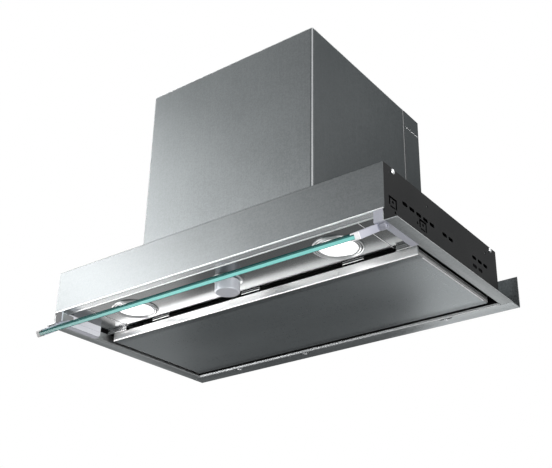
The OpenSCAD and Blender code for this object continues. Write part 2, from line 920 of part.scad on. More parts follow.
scroll_t = 2;
outlet_half = collar_r - collar_t;
inlet_r = wheel_r * 0.72;
wheel_in = wheel_r * 0.82;
hub_r = wheel_r * 0.16;
axle_r = shaft_r * 1.35;
hub_w = wheel_w * 0.2;
web_t = 2.5;
blade_t = 1.2;
motor_end = -hub_w / 2 - sheet_t * 4;
motor_start = -scroll_w / 2 - motor_r * 0.5;

module scroll_outer(grow) {
    rod_x(-scroll_w / 2 + grow, scroll_w / 2 - grow, fan_y, fan_z, scroll_r - grow);
    block([-scroll_w / 2 + grow, fan_y - outlet_half - scroll_t + grow, fan_z],
        [scroll_w / 2 - grow, fan_y + outlet_half + scroll_t - grow, top_z + (grow > 0 ? sheet_t : 0)]);
}

module fan_scroll() {
    color("gray") difference() {
        union() {
            scroll_outer(0);
            block([-scroll_w * 0.62, fan_y - outlet_half * 1.3, top_z - scroll_t],
                [scroll_w * 0.62, fan_y + outlet_half * 1.3, top_z]);
        }
        scroll_outer(scroll_t);
        rod_x(-scroll_w, scroll_w, fan_y, fan_z, inlet_r);
    }
}

module wheel_ring(x0, x1) {
    difference() {
        rod_x(x0, x1, fan_y, fan_z, wheel_r);
        rod_x(x0 - sheet_t, x1 + sheet_t, fan_y, fan_z, wheel_in);
    }
}

module impeller() {
    color("dimgray") {
        wheel_ring(-wheel_w / 2, -wheel_w / 2 + web_t);
        wheel_ring(wheel_w / 2 - web_t, wheel_w / 2);
        difference() {
            union() {
                rod_x(-web_t / 2, web_t / 2, fan_y, fan_z, wheel_r);
                rod_x(-hub_w / 2, hub_w / 2, fan_y, fan_z, hub_r);
            }
            rod_x(-hub_w, hub_w, fan_y, fan_z, axle_r);
        }
        for (i = [0:blades - 1]) translate([0, fan_y, fan_z]) rotate([i * 360 / blades, 0, 0])
            block([-wheel_w / 2 + web_t / 2, wheel_in + blade_t / 2, -blade_t / 2],
                [wheel_w / 2 - web_t / 2, wheel_r - blade_t / 2, blade_t / 2]);
    }
}

module motor_shaft() {
    color("silver") rod_x(motor_end - hub_w, hub_w / 2, fan_y, fan_z, axle_r);
}

module motor() {
    color("slategray") difference() {
        union() {
            rod_x(motor_start, motor_end, fan_y, fan_z, motor_r);
            for (a = [30, 150, 270]) translate([-scroll_w / 2 - scroll_t, fan_y, fan_z]) rotate([a, 0, 0])
                block([0, 0, -scroll_t * 3], [scroll_t, inlet_r + scroll_t * 6, scroll_t * 3]);
        }
        rod_x(motor_end - hub_w - sheet_t * 2, motor_end + sheet_t, fan_y, fan_z, axle_r + pin_gap);
    }
}

// The terminal box stands on the deck between the motor box and the left side plate
terminal_room = x_out - box_half;
terminal_x = box_half + terminal_room * 0.285;
terminal_w = terminal_room * 0.474;
terminal_d = terminal_w * 1.4;
terminal_h = terminal_w * 0.6;
terminal_mid = -terminal_x - terminal_w / 2;
gland_l = terminal_w * 0.3;
gland_z = box_z + terminal_h / 2;
gland_r = cable_r * 2.1;

module terminal_box() {
    color("dimgray") difference() {
        union() {
            block([-terminal_x - terminal_w, 0, box_z], [-terminal_x, terminal_d, box_z + terminal_h]);
            rod_y(terminal_mid, terminal_d - sheet_t, terminal_d + gland_l, gland_z, gland_r);
        }
        rod_y(terminal_mid, terminal_d - gland_l, terminal_d + gland_l * 2, gland_z, cable_r);
    }
}

// Screws of the side plates

module side_screw_shape(i) {
    y = at_depth(screw_shares[i]);
    color("whitesmoke") {
        rod_x(x_out, x_out + screw_head_h, y, screw_z, screw_head_r);
        rod_x(x_leaf - sheet_t * 3, x_out, y, screw_z, screw_r);
    }
}

module side_screw_1() { on_left() side_screw_shape(0); }
module side_screw_2() { on_left() side_screw_shape(1); }
module side_screw_3() { side_screw_shape(0); }
module side_screw_4() { side_screw_shape(1); }

front_panel();
side_plate_left();
side_plate_right();
flange_left();
flange_right();
top_deck();
back_plate();
rear_strip_left();
rear_strip_right();
strip_tongue();
strip_screw_1();
strip_screw_2();
strip_screw_3();
lamp_panel();
lamp_end_left();
lamp_end_right();
lamp_ring_left();
lamp_ring_right();
lamp_lens_left();
lamp_lens_right();
lamp_housing_left();
lamp_housing_right();
knob();
knob_shaft();
knob_ring();
speed_switch();
control_box();
visor_glass();
visor_arm_left();
visor_arm_right();
visor_cap_left();
visor_cap_right();
visor_bracket_left();
visor_bracket_right();
suction_panel();
panel_hinge_left();
panel_hinge_right();
panel_catch_left();
panel_catch_right();
filter_seat();
filter_frame();
filter_mesh();
filter_latch();
latch_keeper();
motor_box_front();
motor_box_rear();
motor_box_top();
outlet_collar();
damper_rod();
damper_flap_front();
damper_flap_rear();
fan_scroll();
impeller();
motor_shaft();
motor();
terminal_box();
side_screw_1();
side_screw_2();
side_screw_3();
side_screw_4();
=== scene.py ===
"""Range hood insert: finishes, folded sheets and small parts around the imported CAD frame.

X runs along the width, the front faces -Y and Z is up. Shapes are drawn in millimetres and their
meshes are turned to metres; textures, lamps and camera are in metres. Places are worked out from
the boxes of the CAD nodes and from the sizes written below.
"""
import json
import math

import bmesh
import bpy
from mathutils import Matrix, Vector

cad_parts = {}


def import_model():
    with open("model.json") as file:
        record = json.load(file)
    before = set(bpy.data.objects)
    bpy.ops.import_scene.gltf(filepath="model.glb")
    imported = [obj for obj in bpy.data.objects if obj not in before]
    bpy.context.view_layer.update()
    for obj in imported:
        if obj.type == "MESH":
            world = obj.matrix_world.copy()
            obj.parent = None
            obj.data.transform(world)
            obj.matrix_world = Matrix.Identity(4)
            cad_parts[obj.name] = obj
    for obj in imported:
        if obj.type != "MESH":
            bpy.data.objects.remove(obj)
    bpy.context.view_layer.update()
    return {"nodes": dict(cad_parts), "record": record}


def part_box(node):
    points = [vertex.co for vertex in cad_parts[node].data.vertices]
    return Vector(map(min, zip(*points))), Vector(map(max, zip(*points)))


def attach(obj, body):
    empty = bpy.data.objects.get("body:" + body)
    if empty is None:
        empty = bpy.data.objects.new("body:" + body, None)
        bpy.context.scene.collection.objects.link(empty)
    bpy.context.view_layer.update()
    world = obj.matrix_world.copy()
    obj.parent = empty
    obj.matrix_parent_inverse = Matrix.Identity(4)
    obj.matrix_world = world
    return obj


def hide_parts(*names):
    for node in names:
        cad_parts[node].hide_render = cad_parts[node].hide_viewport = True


MM = 0.001
SHEET = 1.0
BODY_W = 564.0
SIDES = ("right", "left")
FULL = 2 * math.pi

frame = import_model()
nodes = frame["nodes"]


# ---------------- shapes in two dimensions

def turned(a, b):
    """Unit direction from a to b and its left normal."""
    d = Vector((b[0] - a[0], b[1] - a[1])).normalized()
    return d, Vector((-d.y, d.x))


def arc(x, y, r, start, end, steps):
    """Points on a circle, from one angle to another."""
    angles = [start + (end - start) * k / steps for k in range(steps + 1)]
    return [(x + r * math.cos(a), y + r * math.sin(a)) for a in angles]


def circle_points(x, y, r, steps):
    return arc(x, y, r, 0, FULL, steps)[:-1]


def slot_points(x, y, length, width, steps=10):
    """A slot with round ends, long along the first direction."""
    r = width / 2
    half = length / 2 - r
    quarter = math.pi / 2
    return arc(x + half, y, r, -quarter, quarter, steps) + arc(x - half, y, r, quarter, 3 * quarter, steps)


def rectangle(x0, y0, x1, y1):
    return [(x0, y0), (x1, y0), (x1, y1), (x0, y1)]


def rounded(path, radius, steps=6):
    """The open path with each inner corner rounded; radius is one number or one per corner."""
    out = [Vector(path[0])]
    for i in range(1, len(path) - 1):
        r = radius[i - 1] if isinstance(radius, list) else radius
        here = Vector(path[i])
        before = Vector(path[i - 1]) - here
        after = Vector(path[i + 1]) - here
        angle = before.angle(after)
        if r <= 0 or angle > math.pi - 1e-4:
            out.append(here)
            continue
        back = r / math.tan(angle / 2)
        start = here + before.normalized() * back
        end = here + after.normalized() * back
        middle = here + (before.normalized() + after.normalized()).normalized() * r / math.sin(angle / 2)
        a0 = math.atan2(start.y - middle.y, start.x - middle.x)
        sweep = math.atan2(end.y - middle.y, end.x - middle.x) - a0
        sweep = (sweep + math.pi) % FULL - math.pi
        # The small share keeps the count the same when the last digit of a place changes.
        count = max(2, int(steps * abs(sweep) / (math.pi / 2) + 0.01) + 1)
        out.extend(arc(middle.x, middle.y, r, a0, a0 + sweep, count))
    out.append(Vector(path[-1]))
    return out


def beside(path, gap):
    """The path moved to its left by gap, with mitred corners."""
    sides = [turned(a, b)[1] for a, b in zip(path, path[1:])]
    out = [Vector(path[0]) + sides[0] * gap]
    for p, n0, n1 in zip(path[1:], sides, sides[1:]):
        both = (n0 + n1).normalized()
        out.append(Vector(p) + both * (gap / both.dot(n0)))
    out.append(Vector(path[-1]) + sides[-1] * gap)
    return out


def sheet_section(path, bend, steps=6, thick=SHEET):
    """Closed outline of a folded sheet. path is its right-hand face; the sheet lies to its left."""
    outer, inner = [], []
    for i in range(1, len(path) - 1):
        d0 = turned(path[i - 1], path[i])[0]
        d1 = turned(path[i], path[i + 1])[0]
        left = d0.x * d1.y - d0.y * d1.x > 0
        r = bend[i - 1] if isinstance(bend, list) else bend
        outer.append(r + thick if left else r)
        inner.append(r if left else r + thick)
    return rounded(path, outer, steps) + rounded(beside(path, thick), inner, steps)[::-1]


# ---------------- meshes

def new_object(name, data):
    obj = bpy.data.objects.new(name, data)
    bpy.context.scene.collection.objects.link(obj)
    return obj


def from_bmesh(name, bm):
    """An object from a mesh that is drawn in millimetres."""
    bmesh.ops.recalc_face_normals(bm, faces=bm.faces)
    mesh = bpy.data.meshes.new(name)
    bm.to_mesh(mesh)
    bm.free()
    mesh.transform(Matrix.Scale(MM, 4))
    return new_object(name, mesh)


def drawn(name, add, *args):
    """An object from a single call of one of the functions that add to a mesh."""
    bm = bmesh.new()
    add(bm, *args)
    return from_bmesh(name, bm)


RUN_ORDER = {"X": (2, 0, 1), "Y": (0, 2, 1), "Z": (0, 1, 2)}


def add_run(bm, outline, axis, lo, hi):
    """Adds the outline, run along an axis from lo to hi, as a closed body."""
    rows = []
    for along in (lo, hi):
        points = [(p[0], p[1], along) for p in outline]
        rows.append([bm.verts.new([p[i] for i in RUN_ORDER[axis]]) for p in points])
    low, high = rows
    for i in range(len(outline)):
        k = (i + 1) % len(outline)
        bm.faces.new((low[i], low[k], high[k], high[i]))
    bm.faces.new(low)
    bm.faces.new(high)


def add_block(bm, lo, hi):
    add_run(bm, rectangle(lo[0], lo[1], hi[0], hi[1]), "Z", lo[2], hi[2])


def add_lathe(bm, profile, middle, axis="Z", steps=96):
    """Revolves a closed profile of (radius, height) about an axis through middle."""
    rings = []
    for r, h in profile:
        ring = []
        for k in range(steps if r > 1e-7 else 1):
            a = FULL * k / steps
            c, s = r * math.cos(a), r * math.sin(a)
            p = Vector((c, s, h)) if axis == "Z" else Vector((h, c, s))
            ring.append(bm.verts.new(p + Vector(middle)))
        rings.append(ring)
    for i, ring in enumerate(rings):
        other = rings[(i + 1) % len(rings)]
        if len(ring) == 1 and len(other) == 1:
            continue
        for k in range(steps):
            n = (k + 1) % steps
            loop = [ring[k % len(ring)], ring[n % len(ring)], other[n % len(other)], other[k % len(other)]]
            bm.faces.new(dict.fromkeys(loop))


def evaluated_mesh(obj):
    bpy.context.view_layer.update()
    return bpy.data.meshes.new_from_object(obj.evaluated_get(bpy.context.evaluated_depsgraph_get()))


UPRIGHT = Matrix(((0, 0, 1, 0), (1, 0, 0, 0), (0, 1, 0, 0), (0, 0, 0, 1)))
PLATE_EDGE = 0.12 * MM


def plate(name, outer, holes, lo, hi, turn=Matrix()):
    """A flat plate with holes, drawn from height lo to hi and then turned."""
    curve = bpy.data.curves.new(name + "_outline", "CURVE")
    curve.dimensions = "2D"
    curve.fill_mode = "BOTH"
    for points in [outer] + holes:
        spline = curve.splines.new("POLY")
        spline.points.add(len(points) - 1)
        for knot, p in zip(spline.points, points):
            knot.co = (p[0] * MM, p[1] * MM, 0, 1)
        spline.use_cyclic_u = True
    curve.extrude = (hi - lo) / 2 * MM - PLATE_EDGE
    curve.bevel_depth = PLATE_EDGE
    curve.bevel_resolution = 1
    curve.offset = -PLATE_EDGE
    source = new_object(name + "_outline", curve)
    mesh = evaluated_mesh(source)
    bpy.data.objects.remove(source)
    mesh.transform(turn @ Matrix.Translation((0, 0, (lo + hi) / 2 * MM)))
    bm = bmesh.new()
    bm.from_mesh(mesh)
    bmesh.ops.remove_doubles(bm, verts=bm.verts, dist=1e-6)
    bmesh.ops.recalc_face_normals(bm, faces=bm.faces)
    bm.to_mesh(mesh)
    bm.free()
    return new_object(name, mesh)


def joined(name, parts):
    """One object from several meshes."""
    bm = bmesh.new()
    for part in parts:
        bm.from_mesh(part.data)
        bpy.data.objects.remove(part)
    mesh = bpy.data.meshes.new(name)
    bm.to_mesh(mesh)
    bm.free()
    return new_object(name, mesh)


def combine(obj, other, operation="DIFFERENCE"):
    """Takes other out of obj, or adds it with UNION."""
    step = obj.modifiers.new("combine", "BOOLEAN")
    step.operation = operation
    step.solver = "EXACT"
    step.object = other
    mesh = evaluated_mesh(obj)
    obj.modifiers.remove(step)
    obj.data = mesh
    bpy.data.objects.remove(other)


def bevelled(obj, width):
    step = obj.modifiers.new("edges", "BEVEL")
    step.width = width * MM
    step.segments = 2
    step.limit_method = "ANGLE"
    step.angle_limit = math.radians(35)
    step.harden_normals = False


def smooth(obj):
    """Smooth shading, with a sharp line where two faces meet at a large angle."""
    for face in obj.data.polygons:
        face.use_smooth = True
    obj.data.set_sharp_from_angle(angle=math.radians(32))


def flat_first(obj):
    """Shades by the larger faces, so that a flat sheet stays flat right up to its rounded edge."""
    step = obj.modifiers.new("shading", "WEIGHTED_NORMAL")
    step.mode = "FACE_AREA"
    step.weight = 100
    step.keep_sharp = True


def sided(obj, side):
    """Mirrors a piece that is drawn for the right, where it is the left one."""
    if side == "left":
        obj.data.transform(Matrix.Scale(-1, 4, (1, 0, 0)))
        obj.data.flip_normals()
    return obj


def hand_in(obj, finish, edge=0.0, body="hood", stands_for=None):
    """Finishes a piece: material, edges, the body that it rides on and the node it stands for.

    Where stands_for is not given, it stands for the node of its own name, if there is one."""
    obj.data.materials.clear()
    obj.data.materials.append(MATERIALS[finish])
    smooth(obj)
    if edge:
        bevelled(obj, edge)
    flat_first(obj)
    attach(obj, body)
    node = stands_for or obj.name.split(".")[0]
    if node in nodes:
        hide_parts(node)


def touch(obj, finish, picks):
    """Gives another finish to the faces that picks(centre, normal) chooses."""
    obj.data.materials.append(MATERIALS[finish])
    index = len(obj.data.materials) - 1
    for face in obj.data.polygons:
        if picks(face.center / MM, face.normal):
            face.material_index = index


# ---------------- materials

class Tree:
    """A node tree with short ways to add to it."""

    def __init__(self, tree):
        self.nodes = tree.nodes
        self.links = tree.links

    def add(self, kind, *linked, **values):
        """A new node, with linked (socket, source) pairs and constant values of its sockets."""
        node = self.nodes.new("ShaderNode" + kind)
        for socket, source in linked:
            self.links.new(source, node.inputs[socket])
        set_sockets(node, values)
        return node

    def larger(self, a, b):
        node = self.add("Math", (0, a), (1, b))
        node.operation = "MAXIMUM"
        return node.outputs[0]

    def mixed(self, share, first, second):
        """Two shaders, with share of the second."""
        return self.add("MixShader", ("Fac", share), (1, first), (2, second)).outputs["Shader"]

    def seen_directly(self):
        """1 for rays of the camera, of reflections and through glass, and 0 for the others."""
        path = self.add("LightPath").outputs
        either = self.larger(path["Is Camera Ray"], path["Is Glossy Ray"])
        return self.larger(either, path["Is Transmission Ray"])


def set_sockets(node, values):
    for key, value in values.items():
        node.inputs[key.replace("_", " ")].default_value = value


class Shader(Tree):
    """A material, drawn in object coordinates."""

    def __init__(self, name):
        self.material = bpy.data.materials.new(name)
        self.material.use_nodes = True
        super().__init__(self.material.node_tree)
        self.surface = self.nodes["Principled BSDF"]
        self.place = self.add("TexCoord").outputs["Object"]

    def set(self, **values):
        set_sockets(self.surface, values)

    def feed(self, socket, source):
        self.links.new(source, self.surface.inputs[socket])

    def noise(self, scale, detail=3.0, roughness=0.5, stretch=(1, 1, 1)):
        spot = self.add("Mapping", ("Vector", self.place), Scale=stretch).outputs["Vector"]
        node = self.add("TexNoise", ("Vector", spot), Scale=scale, Detail=detail, Roughness=roughness)
        return node.outputs["Fac"]

    def along(self, axis, start, end):
        """From 0 to 1 between two places on an axis."""
        places = self.add("SeparateXYZ", ("Vector", self.place)).outputs
        return self.spread(places[axis], 0.0, 1.0, start, end)

    def ramp(self, value, *stops):
        node = self.add("ValToRGB", ("Fac", value))
        elements = node.color_ramp.elements
        while len(elements) < len(stops):
            elements.new(0.5)
        for element, (where, colour) in zip(elements, stops):
            element.position = where
            element.color = (*colour, 1)
        return node.outputs["Color"]

    def spread(self, value, low, high, start=0.3, end=0.7):
        node = self.add("MapRange", ("Value", value), From_Min=start, From_Max=end, To_Min=low, To_Max=high)
        return node.outputs["Result"]

    def blended(self, a, b, share):
        """Adds two noises, with share of the second."""
        return self.add("Mix", ("A", a), ("B", b), Factor=share).outputs["Result"]

    def colour(self, value, dark, light, start=0.3, end=0.7):
        self.feed("Base Color", self.ramp(value, (start, dark), (end, light)))

    def rough(self, value, low, high, start=0.3, end=0.7):
        self.feed("Roughness", self.spread(value, low, high, start, end))

    def bump(self, value, strength, distance):
        node = self.add("Bump", ("Height", value), Strength=strength, Distance=distance)
        self.feed("Normal", node.outputs["Normal"])

    def show(self, shader):
        """Makes a shader the one that the material shows."""
        self.links.new(shader, self.nodes["Material Output"].inputs["Surface"])


def shade(colour, factor):
    return tuple(min(1.0, c * factor) for c in colour)


# Scales of the noise that draws fine lines along an axis.
GRAIN = {"X": (14, 900, 900), "Y": (900, 14, 900), "Z": (900, 900, 14)}


def brushed(name, colour, rough, grain, spread, bump=0.35, edge=0.6):
    """Satin brushed steel: fine lines and specks, faint clouds, small changes of gloss.

    edge is how much it still reflects at a glancing angle."""
    s = Shader(name)
    lines = s.noise(1.0, 4.0, 0.6, GRAIN[grain])
    specks = s.noise(480.0, 2.0, 0.6)
    clouds = s.noise(9.0, 2.0)
    fine = s.blended(lines, specks, 0.68)
    both = s.blended(fine, clouds, 0.18)
    s.set(Metallic=1.0, Anisotropic=0.35, Specular_Tint=(edge, edge, edge, 1))
    s.colour(both, shade(colour, 1 - spread), shade(colour, 1 + spread), 0.40, 0.60)
    s.rough(both, rough - 0.05, rough + 0.06)
    s.bump(fine, bump, 0.00004)
    return s.material


def steel_with_painted_sheen(name):
    """Brushed steel with a painted sheen: its colour grows brighter towards the rolled rear edge, where the
    roll catches the light.
    """
    s = Shader(name)
    fine = s.blended(s.noise(1.0, 4.0, 0.6, GRAIN["X"]), s.noise(9.0, 2.0), 0.3)
    both = s.blended(s.along("Y", -0.110, -0.054), fine, 0.1)
    # Painted sheen: the base colour brightens from the front towards the rolled rear edge.
    tone = s.ramp(both, (0.05, (0.200, 0.209, 0.212)), (0.38, (0.24, 0.250, 0.253)),
                  (0.62, (0.33, 0.341, 0.346)), (0.80, (0.47, 0.48, 0.485)), (0.95, (0.48, 0.49, 0.495)))
    s.feed("Base Color", tone)
    s.set(Metallic=1.0, Anisotropic=0.35, Specular_Tint=(0.6, 0.6, 0.6, 1))
    s.rough(fine, 0.15, 0.22)
    s.bump(fine, 0.12, 0.00004)
    return s.material


def coated(name, colour, rough, spread=0.12, grain_size=600.0, bump=0.25, metallic=0.0, gloss=0.5):
    """Paint or moulded plastic: fine orange peel with soft changes of tone and gloss."""
    s = Shader(name)
    peel = s.noise(grain_size)
    both = s.blended(peel, s.noise(14.0), 0.45)
    s.set(Metallic=metallic, Specular_IOR_Level=gloss)
    s.colour(both, shade(colour, 1 - spread), shade(colour, 1 + spread), 0.32, 0.68)
    s.rough(both, rough - 0.06, rough + 0.08)
    s.bump(peel, bump, 0.00003)
    return s.material


def zinc(name):
    """Galvanised sheet: spangles of slightly different tone and gloss."""
    s = Shader(name)
    cells = s.add("TexVoronoi", ("Vector", s.place), Scale=130.0).outputs["Color"]
    fine = s.noise(900.0, 3.0, 0.6)
    both = s.blended(s.add("SeparateColor", ("Color", cells)).outputs["Red"], fine, 0.35)
    s.set(Metallic=1.0)
    s.colour(both, (0.27, 0.285, 0.29), (0.40, 0.415, 0.42), 0.1, 0.9)
    s.rough(both, 0.36, 0.5, 0.1, 0.9)
    s.bump(fine, 0.2, 0.00003)
    return s.material


def polished(name, colour, rough):
    """Chrome or bright zinc with fine wiping marks."""
    s = Shader(name)
    marks = s.noise(1.0, 4.0, 0.6, (260, 900, 260))
    both = s.blended(marks, s.noise(60.0), 0.5)
    s.set(Metallic=1.0)
    s.colour(both, shade(colour, 0.93), shade(colour, 1.03), 0.35, 0.65)
    s.rough(both, rough - 0.06, rough + 0.06)
    s.bump(marks, 0.04, 0.00002)
    return s.material


def lit_lens(name):
    """Frosted lens, lit from behind, with faint clouds."""
    s = Shader(name)
    frost = s.noise(1400.0, 3.0, 0.6)
    s.set(Roughness=0.4, Emission_Strength=1.15)
    s.colour(frost, (0.86, 0.86, 0.85), (0.95, 0.95, 0.95))
    s.feed("Emission Color", s.ramp(s.noise(30.0, 2.0), (0.3, (0.97, 0.97, 0.98)), (0.7, (1.0, 1.0, 1.0))))
    s.bump(frost, 0.3, 0.00005)
    return s.material


def show_glass(s, shader):
    """Lets most of the light of the lamps pass, so that glass throws only a faint shadow."""
    clear = s.add("BsdfTransparent", Color=(0.80, 0.93, 0.92, 1)).outputs["BSDF"]
    s.show(s.mixed(s.add("LightPath").outputs["Is Shadow Ray"], shader, clear))


def clear_glass(name):
    """Clear glass that turns dark green where it is looked along."""
    s = Shader(name)
    clouds = s.noise(25.0, 2.0)
    s.set(Transmission_Weight=0.85, IOR=1.5)
    s.colour(clouds, (0.78, 0.95, 0.93), (0.84, 0.97, 0.95))
    s.rough(clouds, 0.02, 0.06)
    tone = s.ramp(clouds, (0.35, (0.006, 0.050, 0.050)), (0.65, (0.010, 0.070, 0.068)))
    deep = s.add("BsdfPrincipled", ("Base Color", tone), Roughness=0.3, Specular_IOR_Level=0.0)
    share = s.spread(s.add("LayerWeight").outputs["Facing"], 0.0, 0.95, 0.80, 0.93)
    show_glass(s, s.mixed(share, s.surface.outputs["BSDF"], deep.outputs["BSDF"]))
    return s.material


def glass_edge(name, painted_shade_left, clear, gloss=0.1):
    """Ground and polished edge, where float glass shows its green, with painted shade that makes it darker
    and duller towards its left end.
    """
    s = Shader(name)
    lines = s.noise(1.0, 3.0, 0.5, (22, 500, 500))
    s.set(IOR=1.5, Specular_IOR_Level=gloss)
    # Painted shade: the colour darkens from the middle towards the left end.
    s.colour(s.blended(s.along("X", -0.27, -0.02), lines, 0.25), painted_shade_left, clear, 0.12, 0.85)
    s.rough(lines, 0.16, 0.3)
    s.bump(lines, 0.15, 0.00003)
    show_glass(s, s.surface.outputs["BSDF"])
    return s.material


STEEL = (0.0825, 0.0895, 0.0925)
# Colour, roughness, direction of the lines, spread of tone, depth, and reflection at a glance.
# Lighter copies of the same steel paint light on the lip and the laps and highlights on the rim, hems,
# edges, beads and folds; a darker copy paints shade on the sides of the box.
BRUSHED = {
    "fascia": (STEEL, 0.34, "X", 0.09, 0.3, 0.5),
    "box": (shade(STEEL, 1.14), 0.38, "Z", 0.11, 0.3, 0.35),
    "box_side": (shade(STEEL, 0.72), 0.38, "Z", 0.13, 0.3, 0.35),
    "under": ((0.203, 0.221, 0.229), 0.30, "X", 0.08, 0.12, 0.4),
    "lip": ((0.60, 0.625, 0.635), 0.22, "X", 0.10, 0.2),
    "flange": ((0.250, 0.267, 0.273), 0.38, "Y", 0.13, 0.3, 0.4),
    "rim": ((0.94, 0.945, 0.95), 0.45, "X", 0.04, 0.12),
    "bright": ((0.86, 0.87, 0.88), 0.5, "X", 0.13),
    "strip": ((0.218, 0.235, 0.242), 0.30, "X", 0.13, 0.3, 0.4),
    "hem_painted_highlight": ((0.56, 0.58, 0.59), 0.4, "X", 0.05, 0.05),
    "edge": ((0.38, 0.395, 0.40), 0.4, "X", 0.13),
    "bead": ((0.46, 0.475, 0.485), 0.4, "Z", 0.13),
    "lap": ((0.135, 0.14, 0.143), 0.4, "Z", 0.13),
}
MATERIALS = {key: brushed("steel_" + key, *values) for key, values in BRUSHED.items()}
MATERIALS.update({
    # Steel with a painted sheen towards the lamp panel's rolled rear edge.
    "panel": steel_with_painted_sheen("steel_panel"),
    # Grey for painted light on the tray's side walls, and for painted shade on the left visor cap and
    # inside the left bracket.
    "wall": coated("grey_painted_light_and_shade", (0.30, 0.31, 0.317), 0.5, 0.08, gloss=0.15),
    # Dark grey for painted shade on the front of the left bracket.
    "grey": coated("grey_plastic_painted_shade", (0.085, 0.090, 0.094), 0.4, gloss=0.05),
    "side": coated("dark_sheet", (0.0045, 0.0052, 0.0057), 0.5, 0.15, 500.0, gloss=0.055),
    "zinc": zinc("zinc_sheet"),
    "screw": polished("bright_zinc", (0.62, 0.635, 0.65), 0.24),
    "chrome": polished("chrome", (0.55, 0.565, 0.575), 0.36),
    "groove": coated("groove_bottom_painted_shade", (0.05, 0.052, 0.054), 0.6, gloss=0.1),
    # Black for painted shade in slots, gaps and recesses.
    "liner": coated("painted_shade_black", (0.006, 0.006, 0.0065), 0.8, gloss=0.0),
    "lens": lit_lens("lit_lens"),
    "dark": coated("dark_plastic", (0.035, 0.035, 0.038), 0.5),
    "knob": coated("knob_satin", (0.53, 0.547, 0.60), 0.36, 0.04, 700.0, 0.15, 0.2),
    # A darker copy of the knob's plastic, for painted shade on its underside.
    "knob_underside_painted_shade": coated("knob_underside_painted_shade", (0.42, 0.437, 0.48), 0.5, 0.04, 700.0, 0.15, gloss=0.2),
    "lilac": coated("lilac_plastic", (0.47, 0.49, 0.57), 0.45, 0.05),
    # Copies of the lilac plastic: darker for painted shade and lighter for painted light on the side
    # brackets.
    "lilac_painted_shade": coated("lilac_plastic_painted_shade", (0.31, 0.325, 0.375), 0.45, 0.05, gloss=0.2),
    "lilac_painted_light": coated("lilac_plastic_painted_light", (0.80, 0.81, 0.88), 0.45, 0.04),
    "white": coated("white_plastic", (0.84, 0.85, 0.88), 0.35, 0.03),
    "glass": clear_glass("visor_glass"),
    "glass_edge": glass_edge("visor_glass_edge", (0.050, 0.150, 0.147), (0.24, 0.64, 0.61)),
    "glass_arris": glass_edge("visor_glass_arris", (0.020, 0.060, 0.060), (0.035, 0.125, 0.122), 0.0),
    "mesh": brushed("filter_aluminium", (0.42, 0.425, 0.43), 0.4, "X", 0.12),
    "motor": coated("motor_paint", (0.16, 0.18, 0.20), 0.4),
})
# The finish of each material slot in the record.
SLOT_FINISH = {
    "brushed_steel": "under", "dark_steel": "side", "zinc_steel": "zinc", "bright_metal": "screw",
    "chrome": "chrome", "lens": "lens", "dark_plastic": "dark", "knob_satin": "knob",
    "visor_glass": "glass", "lilac_plastic": "lilac", "white_plastic": "white",
    "filter_aluminium": "mesh", "motor_paint": "motor",
}


def finish_cad_nodes():
    """Gives the CAD nodes that stay in sight the finish of their record's slot."""
    for part in frame["record"]["subparts"]:
        obj = nodes[part["node"]]
        material = MATERIALS[SLOT_FINISH[part["material_slot"]]]
        if not obj.material_slots:
            obj.data.materials.append(material)
        for place_of in obj.material_slots:
            place_of.material = material


# ---------------- places

def corners(node):
    """The two corners of a node's box, in millimetres."""
    lo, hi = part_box(node)
    return Vector(lo) / MM, Vector(hi) / MM


def centre(node):
    lo, hi = corners(node)
    return (lo + hi) / 2


def span(side, a, b):
    """Two places on one side of the middle, the lower one first."""
    return sorted((side * a, side * b))


# ---------------- folded sheets

def fascia():
    """Front sheet with a rounded fold at its foot, a hemmed lip and an upper return."""
    lo, hi = corners("front_panel")
    x0, x1 = lo.x + SHEET, hi.x - SHEET
    path = [(lo.y + 12, hi.z), (lo.y, hi.z), (lo.y, lo.z), (hi.y, lo.z)]
    bm = bmesh.new()
    add_run(bm, sheet_section(path, [0.6, 1.2]), "X", x0, x1)
    for x in (lo.x, x1):
        add_block(bm, (x, lo.y, lo.z + 1.6), (x + SHEET, lo.y + SHEET, hi.z - 1))
    add_run(bm, arc(hi.y - 1.6, lo.z + 0.2, 1.3, math.pi, FULL, 14), "X", x0, x1)
    piece = from_bmesh("fascia", bm)
    hand_in(piece, "fascia", stands_for="front_panel")
    # Painted light: the lip is a much lighter copy of the fascia's steel. Painted highlight: its hem and
    # the fold at the foot are also much lighter.
    touch(piece, "lip", lambda c, n: c.z < lo.z + 1.2 and c.y > lo.y + 1.9)
    touch(piece, "hem_painted_highlight", lambda c, n: c.z < lo.z + 1.2 and c.y > hi.y - 3)
    touch(piece, "hem_painted_highlight", lambda c, n: c.z < lo.z + 1.5 and c.y < lo.y + 1.5)


# Radii of the rolled rear edge and of the holes.
PANEL_ROLL = 15
LAMP_HOLE = 29.3
SWITCH_HOLE = 6


def lamp_section():
    """Outline of the lamp panel in Y and Z: a flat sheet that rolls up behind."""
    lo, hi = corners("lamp_panel")
    return sheet_section([(lo.y, lo.z), (hi.y, lo.z), (hi.y, hi.z)], PANEL_ROLL, 16)


def lamp_panel():
    """The lamp panel with holes for its lamps and its switch."""
    lo, hi = corners("lamp_panel")
    piece = drawn("lamp_panel", add_run, lamp_section(), "X", lo.x, hi.x)
    lamp = centre("lamp_ring_right")
    switch_y = centre("knob").y
    for x, y, r in ((-lamp.x, lamp.y, LAMP_HOLE), (lamp.x, lamp.y, LAMP_HOLE), (0, switch_y, SWITCH_HOLE)):
        combine(piece, drawn("hole", add_lathe, rectangle(0, -4, r, 4), (x, y, lo.z), "Z", 64))
    hand_in(piece, "panel")


